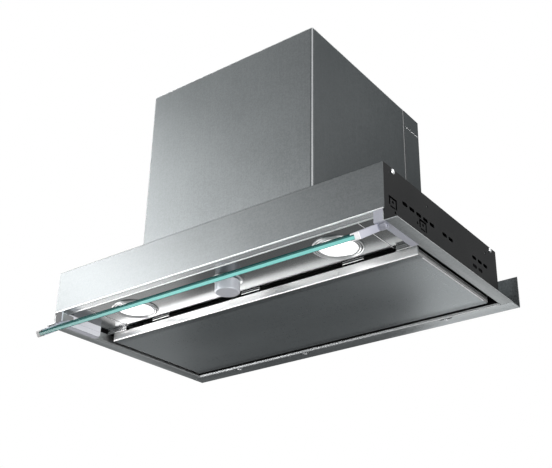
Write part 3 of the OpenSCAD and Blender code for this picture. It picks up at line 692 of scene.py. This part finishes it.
def lamp_ends():
    """The narrow end pieces of the lamp panel, each with a raised edge and a ribbed stop."""
    lo, hi = corners("lamp_end_right")
    panel_lo, panel_hi = corners("lamp_panel")
    foot = panel_lo.z - 5.6
    back = corners("suction_panel")[0].y - 2
    x0, x1 = panel_hi.x + 5, hi.x - 2
    y0, y1 = back - 1.4, back - 2.6
    section = lamp_section()
    raised = [(p[0], p[1] - 0.35) for p in section]
    for side in SIDES:
        bm = bmesh.new()
        add_run(bm, section, "X", lo.x, hi.x)
        add_run(bm, raised, "X", lo.x, lo.x + 1.1)
        add_block(bm, (x0, back - 1.6, foot), (x1, back, panel_lo.z + 12))
        for z in (foot, foot + 2.5, foot + 5):
            rib = rounded([(y0, z), (y1, z), (y1, z + 1.5), (y0, z + 1.5)], 0.4, 4)
            add_run(bm, rib, "X", x0, x1)
        piece = sided(from_bmesh("lamp_end_" + side, bm), side)
        hand_in(piece, "panel")
        # Painted highlight: the underside of the raised edge is a much lighter steel.
        touch(piece, "bright", lambda c, n: abs(c.x) < lo.x + 1.2 and n.z < -0.5)


def flanges():
    """Side flanges, each an angle with a rounded fold."""
    lo, hi = corners("flange_right")
    section = sheet_section([(lo.x, hi.z), (lo.x, lo.z), (hi.x, lo.z)], 0.5, thick=1.1)
    for side in SIDES:
        piece = sided(drawn("flange_" + side, add_run, section, "Y", lo.y, hi.y), side)
        hand_in(piece, "flange", 0.25)
        # Painted highlight: lighter lines along the outer edge and the inner fold.
        touch(piece, "edge", lambda c, n: abs(c.x) > hi.x - 0.2 or abs(c.x) < lo.x + 0.75)


# Rows of slots in a side plate: where a row starts and its level, as shares of the plate's depth
# and of the fascia's height, and the places in the row that have a slot.
SLOT_ROWS = ((0.161, 0.53, (0, 1, 2, 3, 4, 6, 7)), (0.765, 0.53, (0, 1, 2)), (0.765, 0.37, (0, 1)))
SLOT_PITCH = 17
PLATE_SLOT = (12.4, 5)
PLATE_STEP = 15
# Width, height and cut of a lanced tab, and where the tabs stand.
WINDOW = (18.5, 13, 3)
WINDOWS = ((0.068, 0.4), (0.303, 0.4))
# Round holes: the same two shares, and the radius.
PLATE_HOLES = ((0.345, 0.81, 1.9), (0.884, 0.8, 1.9), (0.258, 0.37, 1.9), (0.084, 0.25, 1.9),
               (0.074, 0.945, 2.1), (0.939, 0.945, 2.1))


def window_cuts(y, z):
    """A lanced tab: a cut over its top and its sides, a slot below it and a hole in its middle."""
    w, h, c = WINDOW
    y0, y1 = y - w / 2, y + w / 2
    z0, z1 = z - h / 2, z + h / 2
    arch = [(y0, z0 + 1), (y0, z1), (y1, z1), (y1, z0 - 1), (y1 - c, z0 - 1), (y1 - c, z1 - c),
            (y0 + c, z1 - c), (y0 + c, z0 + 1)]
    foot = slot_points(y - 0.6, z0 - 0.4, w * 0.62, 2, 5)
    return [arch, foot, circle_points(y, z, 2, 24)]


def side_plates():
    """Dark side plates with slots, lanced tabs and small holes, and black blocks behind the slots that
    paint the shade seen through them.
    """
    lo, hi = corners("side_plate_right")
    depth, height = hi.y - lo.y, corners("front_panel")[1].z
    holes = []
    for share, level, row in SLOT_ROWS:
        for i in row:
            y = lo.y + depth * share + i * SLOT_PITCH
            holes.append(slot_points(y, height * level, *PLATE_SLOT))
    for share, level in WINDOWS:
        holes.extend(window_cuts(lo.y + depth * share, height * level))
    for share, level, r in PLATE_HOLES:
        holes.append(circle_points(lo.y + depth * share, height * level, r, 24))
    step = lo.y + SHEET
    outer = [(lo.y, lo.z), (hi.y, lo.z), (hi.y, hi.z), (step, hi.z), (step, PLATE_STEP), (lo.y, PLATE_STEP)]
    for side in SIDES:
        piece = plate("side_plate_" + side, outer, holes, lo.x, hi.x, UPRIGHT)
        hand_in(sided(piece, side), "side")
        # Painted shade: a black block behind the slots, so that they look dark.
        low, high = (lo.x - 0.8, -68, 13), (lo.x - 0.05, hi.y - 4, 34.6)
        liner = drawn("side_painted_shade_block_" + side, add_block, low, high)
        hand_in(sided(liner, side), "liner", 0.2)


def back_plate():
    """Back sheet with a foot that steps back under the body to a rolled edge with a painted highlight. Its
    front face, and its rear face low down, are black with painted shade.
    """
    lo, hi = corners("back_plate")
    x = hi.x - 1.2
    step = lo.z + 1.6
    bead_y = lo.y + 4.2
    bm = bmesh.new()
    add_run(bm, sheet_section([(lo.y, hi.z), (lo.y, step), (hi.y, step)], 0.4), "X", -x, x)
    bead = [(bead_y, step + 0.3), (bead_y, lo.z), (hi.y, lo.z), (hi.y, step + 0.3)]
    add_run(bm, rounded(bead, [0, 0.7]), "X", -x, x)
    piece = from_bmesh("back_plate", bm)
    hand_in(piece, "zinc")
    # Painted shade: black on the sheet's front face and low on its rear face, behind the tray.
    touch(piece, "liner", lambda c, n: c.z < lo.z + 14 and c.y < bead_y and n.z < 0.5)
    touch(piece, "liner", lambda c, n: c.y < lo.y + 0.2)
    touch(piece, "hem_painted_highlight", lambda c, n: c.z < step and bead_y - 0.1 < c.y < hi.y - 0.6)


# Slots and the small hole of the rear strip, as shares of the body's width.
STRIP_SLOTS = (-0.351, -0.112, 0.34)
STRIP_HOLE = -0.23


def rear_strips():
    """The wide strip behind the body in its two lengths, each with an upstand."""
    for side in SIDES[::-1]:
        lo, hi = corners("rear_strip_" + side)
        section = sheet_section([(lo.y, lo.z), (hi.y, lo.z), (hi.y, hi.z)], 0.8, thick=1.1)
        piece = drawn("rear_strip_" + side, add_run, section, "X", lo.x, hi.x)
        y = lo.y + 3
        for x in [BODY_W * share for share in STRIP_SLOTS]:
            if lo.x < x < hi.x:
                combine(piece, drawn("slot", add_run, slot_points(x, y, 20, 3), "Z", -5, 5))
        x = BODY_W * STRIP_HOLE
        if lo.x < x < hi.x:
            combine(piece, drawn("hole", add_run, circle_points(x, y, 1.5, 20), "Z", -5, 5))
        hand_in(piece, "strip", 0.2)


TRAY_HEIGHT = 12.5
# Middles of the lugs on the tray's front rim, as shares of the body's width, and half their width.
LUGS = (-0.303, 0, 0.303)
LUG_HALF = 16.5
EAR = 5


def suction_panel():
    """Tray with rounded folds, open at its corners, with lugs, ears and keepers."""
    lo, hi = corners("suction_panel")
    rim = lo.z + TRAY_HEIGHT
    top = rim + 4
    bm = bmesh.new()
    base = [(lo.x, rim), (lo.x, lo.z), (hi.x, lo.z), (hi.x, rim)]
    add_run(bm, sheet_section(base, 0.8), "Y", lo.y + 1.6, hi.y - 1.6)
    for x0, x1 in ((lo.x + 1.6, lo.x + 14), (hi.x - 14, hi.x - 1.6)):
        ledge = rounded([(x0, rim - 1), (x1, rim - 1), (x1, rim), (x0, rim)], 0.3, 2)
        add_run(bm, ledge, "Y", lo.y + 3, hi.y - 3)
    front = [(lo.y + 9, rim), (lo.y, rim), (lo.y, lo.z), (lo.y + 12, lo.z)]
    back = [(hi.y - 12, lo.z), (hi.y, lo.z), (hi.y, rim)]
    for path in (front, back):
        add_run(bm, sheet_section(path, 0.8), "X", lo.x + 0.3, hi.x - 0.3)
    for share in LUGS:
        x0, x1 = BODY_W * share - LUG_HALF, BODY_W * share + LUG_HALF
        lug = rounded([(x0, rim - 1), (x0, top), (x1, top), (x1, rim - 1)], 1.2, 4)
        add_run(bm, lug, "Y", lo.y, lo.y + SHEET)
    hinge = centre("panel_hinge_right")
    catch = corners("panel_catch_right")[1]
    pin_y = hi.y - 4
    ear_back = pin_y + 3.5
    ear = [(pin_y - EAR, lo.z + 0.5), (ear_back, lo.z + 0.5)]
    round_top = arc(pin_y, lo.z + TRAY_HEIGHT * 0.58, EAR, math.radians(-10), math.pi, 12)
    ear += [(min(y, ear_back), z) for y, z in round_top]
    for side in (-1, 1):
        for x in (side * hinge.x - 4, side * hinge.x + 4):
            add_run(bm, ear, "X", x - 1, x + 1)
        x = side * (hi.x - 32.2)
        add_block(bm, (x - 6, lo.y + 8, rim - 1), (x + 6, catch.y, rim))
    piece = from_bmesh("suction_panel", bm)
    hand_in(piece, "under", body="lower_panel")
    # Painted highlight: the front face is a much lighter copy of the tray's steel, and the outer edges of
    # its sides are also much lighter.
    touch(piece, "rim", lambda c, n: c.y < lo.y + 0.9 and c.z < rim + 0.1)
    touch(piece, "bright", lambda c, n: abs(c.x) > hi.x - 1.5 and c.z < lo.z + 0.9 and n.z < 0.9)
    # Painted shade: the lugs' faces above the rim are black.
    touch(piece, "liner", lambda c, n: c.y < lo.y + 1.2 and rim + 0.1 < c.z)
    suction_painted_light_trims(lo, hi, rim, top)


def suction_painted_light_trims(lo, hi, rim, top):
    """Trims with painted light on the tray: a painted highlight on its front face and the tops of its lugs,
    and grey strips with painted light and highlight lines on its side walls.
    """
    y0, y1 = lo.y - 0.15, lo.y + 0.3
    z0, z1 = lo.z + 1.2, rim - 0.3
    bm = bmesh.new()
    face = rounded([(y0, z0), (y0, z1), (y1, z1), (y1, z0)], 0.1, 2)
    add_run(bm, face, "X", lo.x + 0.6, hi.x - 0.6)
    for share in LUGS:
        x = BODY_W * share
        add_run(bm, circle_points(lo.y + 0.5, top - 0.4, 0.8, 16), "X", x - 16.2, x + 16.2)
    hand_in(from_bmesh("suction_panel_front_painted_highlight", bm), "rim", body="lower_panel")
    bm = bmesh.new()
    for side in (-1, 1):
        x0, x1 = span(side, hi.x - 0.3, hi.x + 0.15)
        add_block(bm, (x0, lo.y + 1.4, lo.z + 1.6), (x1, hi.y - 1.8, lo.z + 7.4))
        x0, x1 = span(side, hi.x - 0.3, hi.x + 0.5)
        add_block(bm, (x0, lo.y + 1.4, lo.z + 7.4), (x1, hi.y - 1.8, lo.z + 8.6))
        add_block(bm, (x0, lo.y + 0.3, lo.z + 1.6), (x1, lo.y + 1.4, rim - 0.4))
        add_block(bm, (x0, hi.y - 1.8, lo.z + 1.6), (x1, hi.y - 0.6, rim - 0.4))
    # Painted light: grey strips on the side walls, with lines of painted highlight.
    painted_light_strips = from_bmesh("suction_panel_side_painted_light_strips", bm)
    hand_in(painted_light_strips, "wall", 0.12, "lower_panel")
    touch(painted_light_strips, "bright", lambda c, n: abs(c.x) > hi.x + 0.3 or c.z > lo.z + 7.3)


# ---------------- motor box and outlet

# Height of the lap line on the rear channel, reach of the inner laps, and the opening's radius.
LAP_LINE = 254
LAP = 14
OPENING = 73


def motor_box():
    """Front shell with round bends and a bead along its seam, and the rear channel with its laps."""
    lo, hi = corners("motor_box_front")
    rear_lo, rear_hi = corners("motor_box_rear")
    seam = hi.y
    bm = bmesh.new()
    shell = [(lo.x, seam), (lo.x, lo.y), (hi.x, lo.y), (hi.x, seam)]
    add_run(bm, sheet_section(shell, 3, 8), "Z", lo.z, hi.z)
    for side in (-1, 1):
        x0, x1 = span(side, hi.x - 0.4, hi.x + 0.35)
        bead = [(x0, seam - 3.2), (x1, seam - 3.2), (x1, seam), (x0, seam)][::side]
        add_run(bm, rounded(bead, 0.3, 3), "Z", lo.z, hi.z)
    piece = from_bmesh("motor_box_front", bm)
    hand_in(piece, "box")
    # Painted shade: the sides are a darker copy of the box's steel. Painted highlight: the bead's rounded
    # front corners are much lighter; painted light: its outer face is lighter than the sides.
    touch(piece, "box_side", lambda c, n: abs(n.x) > 0.9)
    touch(piece, "bead", lambda c, n: 0.5 < abs(n.x) < 0.87 and -n.y > 0.45)
    touch(piece, "lap", lambda c, n: abs(c.x) > hi.x + 0.02)
    start = seam + 0.3
    back = rear_hi.y
    channel = [(rear_lo.x, start), (rear_lo.x, back), (rear_hi.x, back), (rear_hi.x, start)]
    section = sheet_section(channel, 1.2)
    lap_z = lo.z + LAP_LINE
    bm = bmesh.new()
    add_run(bm, section, "Z", lo.z, lap_z - 0.3)
    add_run(bm, section, "Z", lap_z + 0.3, hi.z)
    for side in (-1, 1):
        x0, x1 = span(side, hi.x - 2, hi.x - 1)
        add_block(bm, (x0, seam - LAP, lo.z), (x1, seam + LAP, hi.z))
        x0, x1 = span(side, hi.x - 0.5, hi.x + 0.8)
        add_block(bm, (x0, start + 3.5, lap_z - 0.9), (x1, back - 3, lap_z + 0.9))
    add_block(bm, (lo.x + 0.5, seam + LAP, lo.z), (hi.x - 0.5, back - 0.5, lo.z + 1))
    add_block(bm, (lo.x + 3, back - 2, lap_z - 8), (hi.x - 3, back - 1, lap_z + 8))
    piece = from_bmesh("motor_box_rear", bm)
    hand_in(piece, "box", 0.2)
    # Painted shade on the sides, and a painted highlight on the lap line.
    touch(piece, "box_side", lambda c, n: abs(n.x) > 0.9)
    touch(piece, "bright",
          lambda c, n: abs(c.x) > hi.x - 0.4 and abs(c.z - lap_z) < 1 and c.y > start + 3)


def motor_box_top():
    """Top plate with rounded corners and the duct's opening."""
    lo, hi = corners("motor_box_top")
    path = [(0, hi.y), (lo.x, hi.y), (lo.x, lo.y), (hi.x, lo.y), (hi.x, hi.y), (0.1, hi.y)]
    duct = centre("outlet_collar")
    opening = circle_points(duct.x, duct.y, OPENING, 96)
    piece = plate("motor_box_top", rounded(path, [1.2, 4, 4, 1.2]), [opening], lo.z, hi.z)
    hand_in(piece, "zinc")


def pan_head(bm, where, axis, sign, r, h):
    """A domed screw head, standing along an axis."""
    profile = [(0, -0.1), (r * 0.98, -0.1), (r, 0.25 * h), (r * 0.93, 0.55 * h), (r * 0.74, 0.85 * h),
               (r * 0.5, h), (r * 0.32, h), (r * 0.22, 0.5 * h), (0, 0.4 * h)]
    add_lathe(bm, [(a, b * sign) for a, b in profile], where, axis, 28)


def screws():
    """Side screws and strip screws, each with a domed head, a shank and a recess."""
    face = corners("side_plate_right")[1].x
    for i in range(1, 5):
        name = "side_screw_%d" % i
        lo, hi = corners(name)
        side = 1 if lo.x > 0 else -1
        where = (side * face, (lo.y + hi.y) / 2, (lo.z + hi.z) / 2)
        end = side * (min(abs(lo.x), abs(hi.x)) - face)
        bm = bmesh.new()
        pan_head(bm, where, "X", side, 3.6, 1.8)
        add_lathe(bm, [(0, 0), (2, 0), (2, end + side * 0.8), (1.2, end), (0, end)], where, "X", 20)
        hand_in(from_bmesh(name, bm), "screw")
    for i in range(1, 4):
        name = "strip_screw_%d" % i
        lo, hi = corners(name)
        x, y = (lo.x + hi.x) / 2, (lo.y + hi.y) / 2
        bm = bmesh.new()
        pan_head(bm, (x, y, lo.z + 1), "Z", -1, 3, 1)
        add_lathe(bm, rectangle(0, lo.z + 1, 1.2, hi.z), (x, y, 0), "Z", 16)
        hand_in(from_bmesh(name, bm), "screw")


DUCT_R = 75
DUCT_WALL = 2


def outlet_collar():
    """Duct collar with a foot flange, two beads, a chamfered mouth, stops and bosses."""
    lo, hi = corners("outlet_collar")
    c = (lo + hi) / 2
    rod = centre("damper_rod")
    r = DUCT_R
    wall = r - DUCT_WALL
    z0, z1 = lo.z, hi.z
    profile = [(wall, z0), (r + 4, z0), (r + 4, z0 + 1.6), (r + 3.5, z0 + 2), (r + 0.8, z0 + 2)]
    profile.append((r, z0 + 3))
    for z in (z0 + 26, z0 + 32):
        profile += [(r, z), (r + 0.7, z + 0.6), (r + 0.7, z + 1.6), (r, z + 2.2)]
    profile += [(r, z1 - 2.5), (r - 0.9, z1 - 0.3), (r - 1.3, z1), (wall, z1)]
    ring = drawn("ring", add_lathe, profile, (c.x, c.y, 0), "Z", 128)
    combine(ring, drawn("hole", add_lathe, rectangle(0, -90, 1.5, 90), rod, "X", 24))
    bm = bmesh.new()
    for side in (-1, 1):
        boss = rectangle(1.52, 0, 3.6, side * 1.6)
        add_lathe(bm, boss, (side * (r - 0.3), rod.y, rod.z), "X", 28)
    for x, y in arc(c.x, c.y, 77.2, math.pi / 4, 7 * math.pi / 4, 3):
        pan_head(bm, (x, y, z0 + 2), "Z", 1, 1.7, 0.9)
    stop_z = rod.z - 1.1
    for quarter in range(4):
        turn = Matrix.Rotation((quarter + 0.5) * math.pi / 2, 2)
        stop = [turn @ Vector(p) + c.xy for p in rectangle(r - 6, -4, r - 1, 4)]
        add_run(bm, stop, "Z", stop_z - 2, stop_z)
    hand_in(joined("outlet_collar", [ring, from_bmesh("fittings", bm)]), "dark")


# ---------------- lamps, knob and visor

# Radius, and height above the ring's lowest point.
LAMP_RING = ((29, 10), (29, 2), (33.5, 2), (33.5, 0.8), (33.25, 0.3), (32.8, 0.02), (32.3, 0.02),
             (31.9, 0.3), (31.5, 1.1), (30.3, 1.1), (29.9, 0.3), (29.5, 0.05), (29.0, 0.05), (28.7, 0.25),
             (28.2, 0.9), (27.3, 0.9), (26.9, 0.5), (25.7, 1.0), (25.2, 1.9), (26, 2.4), (26, 10))


def lamps():
    """Rings with a rounded outer edge, grooves with painted shade in their bottoms and a sloping bezel, and
    flat lit lenses.
    """
    for side in SIDES[::-1]:
        c = centre("lamp_ring_" + side)
        z = corners("lamp_ring_" + side)[0].z
        profile = [(r, z + h) for r, h in LAMP_RING]
        ring = drawn("lamp_ring_" + side, add_lathe, profile, (c.x, c.y, 0), "Z", 128)
        hand_in(ring, "chrome")

        def in_groove_bottom(p, n):
            r = math.hypot(p.x - c.x, p.y - c.y)
            return n.z < -0.9 and (30.4 < r < 31.4 or 27.3 < r < 28.1)

        # Painted shade: the bottoms of the grooves are dark.
        touch(ring, "groove", in_groove_bottom)
        top = corners("lamp_lens_" + side)[1].z
        edge = z + 1.5
        outline = [(0, top), (26, top), (26, z + 2.6), (25, z + 2.5), (24.9, edge)]
        for share in [1 - k / 8 for k in range(1, 9)]:
            outline.append((24.7 * share, edge - 0.25 * (1 - share * share)))
        hand_in(drawn("lamp_lens_" + side, add_lathe, outline, (c.x, c.y, 0)), "lens")


def knob():
    """Round knob with a rounded lower edge, a neck, and the bright ring at its root."""
    lo, hi = corners("knob")
    c = (lo + hi) / 2
    r = (hi.x - lo.x) / 2
    bore = hi.z - 10.5
    profile = [(3, hi.z), (r - 1.2, hi.z), (r - 0.6, hi.z - 0.3), (r - 0.5, hi.z - 1), (r, hi.z - 1.5)]
    profile += arc(r - 2, lo.z + 2, 2, 0, -math.pi / 2, 6)
    profile += [(r * 0.6, lo.z + 0.06), (r * 0.25, lo.z + 0.1), (0, lo.z + 0.1), (0, bore), (3, bore)]
    body = drawn("knob", add_lathe, profile, (c.x, c.y, 0), "Z", 128)
    low, high = (c.x - 0.5, c.y + r - 0.5, lo.z + 2.5), (c.x + 0.5, c.y + r + 1, lo.z + 13)
    combine(body, drawn("groove", add_block, low, high))
    hand_in(body, "knob", body="control_knob")
    # Painted shade: the flat underside is a darker copy of the knob's plastic.
    touch(body, "knob_underside_painted_shade", lambda p, n: n.z < -0.95 and p.z < lo.z + 1)
    lo, hi = corners("knob_ring")
    r, z = (hi.x - lo.x) / 2, lo.z
    section = [(4.5, hi.z), (r, hi.z), (r, z + 0.9), (r - 0.3, z + 0.3), (r - 1, z), (r - 2, z + 0.1),
               (r - 2.6, z + 0.7), (4.5, z + 0.7)]
    hand_in(drawn("knob_ring", add_lathe, section, (c.x, c.y, 0), "Z", 128), "chrome")


VISOR_TILT = math.radians(33)
# From the visor's axis to the glass, to the caps and to the far edge.
GLASS_ROOT = 8.1
CAP_ROOT = 50.8
REACH = 53.5
# Half the thickness of the glass and of the arms.
GLASS_HALF = 3
ARM_HALF = 4.5
# Width and length of the side brackets.
BRACKET = (8, 79)


def pivot():
    """The visor's axis, in Y and Z."""
    return Vector((0, corners("front_panel")[0].y + 8, -3.3))


def tilted(obj):
    """Turns a piece that is drawn level, about the visor's axis, to the open visor's angle."""
    obj.data.transform(Matrix.Translation(pivot() * MM) @ Matrix.Rotation(VISOR_TILT, 4, "X"))
    return obj


def visor_glass():
    """Glass bar with ground edges. Its ends and long edges show more colour than its faces."""
    x = corners("visor_glass")[1].x
    root, far, t = -GLASS_ROOT, -REACH, GLASS_HALF
    outline = [(far + 0.5, -t), (root, -t), (root, t), (far + 1.6, t), (far, t - 1.6), (far, -t + 0.5)]
    piece = tilted(drawn("visor_glass", add_run, outline, "X", -x, x))
    hand_in(piece, "glass", 0.3, "visor")
    back = Matrix.Rotation(-VISOR_TILT, 3, "X")
    touch(piece, "glass_edge", lambda c, n: abs((back @ n).z) < 0.5)
    touch(piece, "glass_arris", lambda c, n: 0.5 < abs((back @ n).z) < 0.95)


def visor_arms():
    """Arms with a round root, a pin and a washer, and the caps at their ends: white on the right, grey with
    painted shade on the left.
    """
    pin_end = corners("visor_arm_right")[1].x
    x0, x1 = [p.x for p in corners("visor_cap_right")]
    t, root, far = ARM_HALF, -CAP_ROOT, -REACH
    low = (x0 - 1, far - 1, -GLASS_HALF)
    high = (corners("visor_glass")[1].x, -GLASS_ROOT, GLASS_HALF)
    shape = [(root, -t)] + arc(0, 0, t, -math.pi / 2, math.pi / 2, 16) + [(root, t)]
    pin = [(0, x1 - 1), (2.5, x1 - 1), (2.5, pin_end - 0.3), (2.2, pin_end), (0, pin_end)]
    cap = rounded([(root, t), (root - 0.01, t), (far, t), (far, -t), (root, -t)], [0, 1.6, 1.6], 5)
    for side in SIDES:
        bar = drawn("bar", add_run, shape, "X", x0, x1)
        combine(bar, drawn("groove", add_block, low, high))
        bm = bmesh.new()
        for profile in (pin, rectangle(2.5, x1, 4, x1 + 1.4)):
            add_lathe(bm, profile, (0, 0, 0), "X", 32)
        arm = joined("visor_arm_" + side, [bar, from_bmesh("pin", bm)])
        tip = drawn("visor_cap_" + side, add_run, cap, "X", x0, x1)
        combine(tip, drawn("groove", add_block, low, high))
        hand_in(sided(tilted(arm), side), "lilac", 0.5, "visor")
        # Painted shade: the left cap is the same white part, coloured grey.
        finish = "white" if side == "right" else "wall"
        hand_in(sided(tilted(tip), side), finish, 0.35, "visor")


def visor_brackets():
    """Side brackets that carry the visor, each with a foot strip, a tab and a boss, in lilac with painted
    shade and lighter inner faces with painted light. The left one also has a plate inside and a front face
    in grey with painted shade.
    """
    panel = corners("front_panel")[0]
    axis = pivot()
    x1 = corners("visor_bracket_right")[1].x
    x0 = x1 - BRACKET[0]
    y0, y1 = panel.y, panel.y + BRACKET[1]
    z0, lip, top = -1.2, panel.z, panel.z + SHEET
    notch = y0 + 15.5
    path = [(y0, lip), (y0, z0), (y1, z0), (y1, top), (notch, top), (notch, lip), (y0 + 0.1, lip)]
    shape = rounded(path, [0.8, 4.8, 0, 0, 0], 8)
    tab = rounded([(x1 - 13, lip), (x1 - 13, z0), (x0 + 0.2, z0), (x0 + 0.2, lip)], 1.2, 4)
    painted_shade_plate = rounded([(y0 + 1.5, top - 1.6), (y0 + 1.5, z0 + 1.5), (y0 + 25, 7.5), (y0 + 25, top - 1.6)],
                     0.8, 3)
    for side in SIDES:
        body = drawn("body", add_run, shape, "X", x0, x1)
        combine(body, drawn("boss", add_lathe, rectangle(0, x0, 4.9, x1), axis, "X", 40), "UNION")
        combine(body, drawn("hole", add_lathe, rectangle(0, x0 - 1, 2.56, x1 + 1), axis, "X", 40))
        combine(body, drawn("groove", add_block, (x0 - 1, y0 + 18, 6.2), (x0 + 0.5, y1 - 2, 6.8)))
        bm = bmesh.new()
        add_run(bm, tab, "Y", y0, y0 + 2)
        if side == "left":
            add_run(bm, painted_shade_plate, "X", x0 - 0.5, x0 + 0.3)
        foot = rectangle(x0 + 0.8, y0 + 0.4, 282.6, y1 - 0.4)
        add_run(bm, foot, "Z", z0 - 0.25, z0 + 0.1)
        piece = sided(joined("visor_bracket_" + side, [body, from_bmesh("tab", bm)]), side)
        # Painted shade: the bracket is a darker copy of the lilac plastic; painted light: its inner face is
        # a lighter copy.
        hand_in(piece, "lilac_painted_shade", 0.25)
        touch(piece, "lilac_painted_light", lambda c, n: abs(n.x) > 0.9 and abs(c.x) < x0 + 0.6)
        # Painted shade on the left bracket only: its front face in dark grey and the plate inside it in
        # grey.
        if side == "left":
            touch(piece, "grey", lambda c, n: c.y < y0 + 1 and n.y < -0.7)
            touch(piece, "wall", lambda c, n: abs(c.x) < x0 - 0.1 and c.y > y0 + 2)


# ---------------- filter

def clipped(a, b, x0, y0, x1, y1):
    """The part of the line from a to b that lies in a rectangle, or None."""
    t0, t1 = 0.0, 1.0
    dx, dy = b[0] - a[0], b[1] - a[1]
    for p, q in ((-dx, a[0] - x0), (dx, x1 - a[0]), (-dy, a[1] - y0), (dy, y1 - a[1])):
        if p < 0:
            t0 = max(t0, q / p)
        elif p > 0:
            t1 = min(t1, q / p)
    if t1 - t0 < 0.01:
        return None
    return (a[0] + dx * t0, a[1] + dy * t0), (a[0] + dx * t1, a[1] + dy * t1)


def add_ribbon(bm, a, b, width, z0, z1):
    """A thin flat strand from a to b."""
    side = turned(a, b)[1] * width / 2
    a, b = Vector(a), Vector(b)
    add_run(bm, [a - side, b - side, b + side, a + side], "Z", z0, z1)


def filter_mesh():
    """Stretched aluminium mesh: two layers of crossing strands below a thin sheet, in a border."""
    lo, hi = corners("filter_mesh")
    pitch, border, strand = 7.5, 1.2, 1.1
    bm = bmesh.new()
    add_block(bm, (lo.x, lo.y, lo.z + 2.2), (hi.x, hi.y, lo.z + 2.8))
    for z, lean in ((lo.z, 0.55), (lo.z + 0.9, -0.55)):
        reach = (hi.y - lo.y) / lean
        first = min(lo.x, lo.x - reach)
        for i in range(int((hi.x - lo.x + abs(reach)) / pitch) + 2):
            x = first + i * pitch
            part = clipped((x, lo.y), (x + reach, hi.y), lo.x, lo.y, hi.x, hi.y)
            if part:
                add_ribbon(bm, *part, strand, z, z + 1)
    for x0, y0, x1, y1 in ((lo.x, lo.y, hi.x, lo.y + border), (lo.x, hi.y - border, hi.x, hi.y),
                           (lo.x, lo.y, lo.x + border, hi.y), (hi.x - border, lo.y, hi.x, hi.y)):
        add_block(bm, (x0, y0, lo.z), (x1, y1, lo.z + 3))
    hand_in(from_bmesh("filter_mesh", bm), "mesh")


# ---------------- room, light and camera

def world():
    """White where it is seen directly, and a faint even light for all other rays."""
    studio = bpy.data.worlds.new("studio")
    bpy.context.scene.world = studio
    studio.use_nodes = True
    studio.node_tree.nodes.clear()
    t = Tree(studio.node_tree)
    soft = t.add("Background", Color=(0.95, 0.97, 1.0, 1), Strength=0.04).outputs["Background"]
    white = t.add("Background", Color=(1, 1, 1, 1), Strength=1.0).outputs["Background"]
    t.add("OutputWorld", ("Surface", t.mixed(t.seen_directly(), soft, white)))


FLOOR_Z = -2.6
FLOOR_HALF = 14.0


def floor():
    """Pale floor, evenly bright where it is seen, with a share of the lamps' light and shadow."""
    square = rectangle(-FLOOR_HALF, -FLOOR_HALF, FLOOR_HALF, FLOOR_HALF)
    mesh = bpy.data.meshes.new("floor")
    mesh.from_pydata([(x, y, FLOOR_Z) for x, y in square], [], [(0, 1, 2, 3)])
    obj = new_object("floor", mesh)
    s = Shader("floor_paint")
    s.colour(s.noise(3.0, 2.0), (0.80, 0.80, 0.80), (0.83, 0.83, 0.83))
    s.set(Roughness=0.9)
    glow = s.add("Emission", Color=(1, 1, 1, 1), Strength=0.52).outputs["Emission"]
    share = s.spread(s.seen_directly(), 0.0, 0.75, 0.0, 1.0)
    s.show(s.mixed(share, s.surface.outputs["BSDF"], glow))
    obj.data.materials.append(s.material)


# Soft boxes: azimuth to the left of the front, elevation, distance, the height that they face,
# width, height, and brightness, 1 being white.
STUDIO = (
    ("front_high", 60, 30, 2.2, 0.1, 0.6, 0.6, 23.5),
    ("front_mid", 45, 15, 2.2, 0.1, 0.6, 0.6, 23),
    ("front_low", 45, -17, 2.2, 0.1, 0.6, 0.6, 12),
    ("left_low", 60, -17, 2.2, 0.1, 0.6, 0.6, 16.5),
    ("left_rear_low", 105, -15, 2.2, 0.1, 0.6, 0.6, 18),
    ("right_low", -50, -15, 2.2, 0.1, 0.6, 0.6, 13),
    ("front_top", 45, 46, 2.2, 0.1, 0.6, 0.6, 1.8),
    ("right_glow", -82, -13, 2, 0, 0.6, 0.5, 23),
    ("right_side", -110, 30, 2.2, 0.1, 0.7, 0.7, 6.5),
    ("right_rear", -140, 42, 2.2, 0.1, 0.7, 0.7, 1.8),
    ("rear_low_left", 125, -20, 1.9, 0, 0.45, 0.3, 1.6),
    ("rear_low", 166, -22, 1.9, 0, 0.45, 0.3, 5.8),
)


def around(azimuth, elevation, distance):
    """A point at an azimuth to the left of the front and an elevation, in degrees."""
    a, e = math.radians(azimuth), math.radians(elevation)
    return Vector((-math.sin(a) * math.cos(e), -math.cos(a) * math.cos(e), math.sin(e))) * distance


def lights():
    """Small soft boxes around the hood, mostly in front of it and to its left."""
    for name, azimuth, elevation, distance, aim, width, height, level in STUDIO:
        light = bpy.data.lights.new(name, "AREA")
        light.shape = "RECTANGLE"
        light.size = width
        light.size_y = height
        light.energy = level * math.pi * width * height
        light.color = (1.0, 0.968, 0.95)
        obj = new_object(name, light)
        obj.location = around(azimuth, elevation, distance)
        facing = Vector((0, 0, aim)) - obj.location
        obj.rotation_euler = facing.to_track_quat("-Z", "Y").to_euler()
        obj.visible_camera = False


def camera():
    data = bpy.data.cameras.new("camera")
    data.lens = 60.99
    data.sensor_width = 36.0
    data.shift_x = -0.125
    data.shift_y = 0.0507
    data.clip_start = 0.05
    obj = new_object("camera", data)
    right = Vector((0.83175, 0.55499, -0.01366))
    up = Vector((0.24423, -0.34371, 0.90676))
    forward = Vector((-0.49854, 0.75753, 0.42143))
    turn = Matrix((right, up, -forward)).transposed()
    obj.matrix_world = Matrix.Translation((0.7710, -0.9824, -0.4997)) @ turn.to_4x4()
    bpy.context.scene.camera = obj


bpy.context.scene.view_settings.view_transform = "Standard"
camera()
world()
floor()
lights()
finish_cad_nodes()
fascia()
lamp_panel()
lamp_ends()
flanges()
side_plates()
back_plate()
rear_strips()
suction_panel()
motor_box()
motor_box_top()
screws()
outlet_collar()
lamps()
knob()
visor_glass()
visor_arms()
visor_brackets()
filter_mesh()
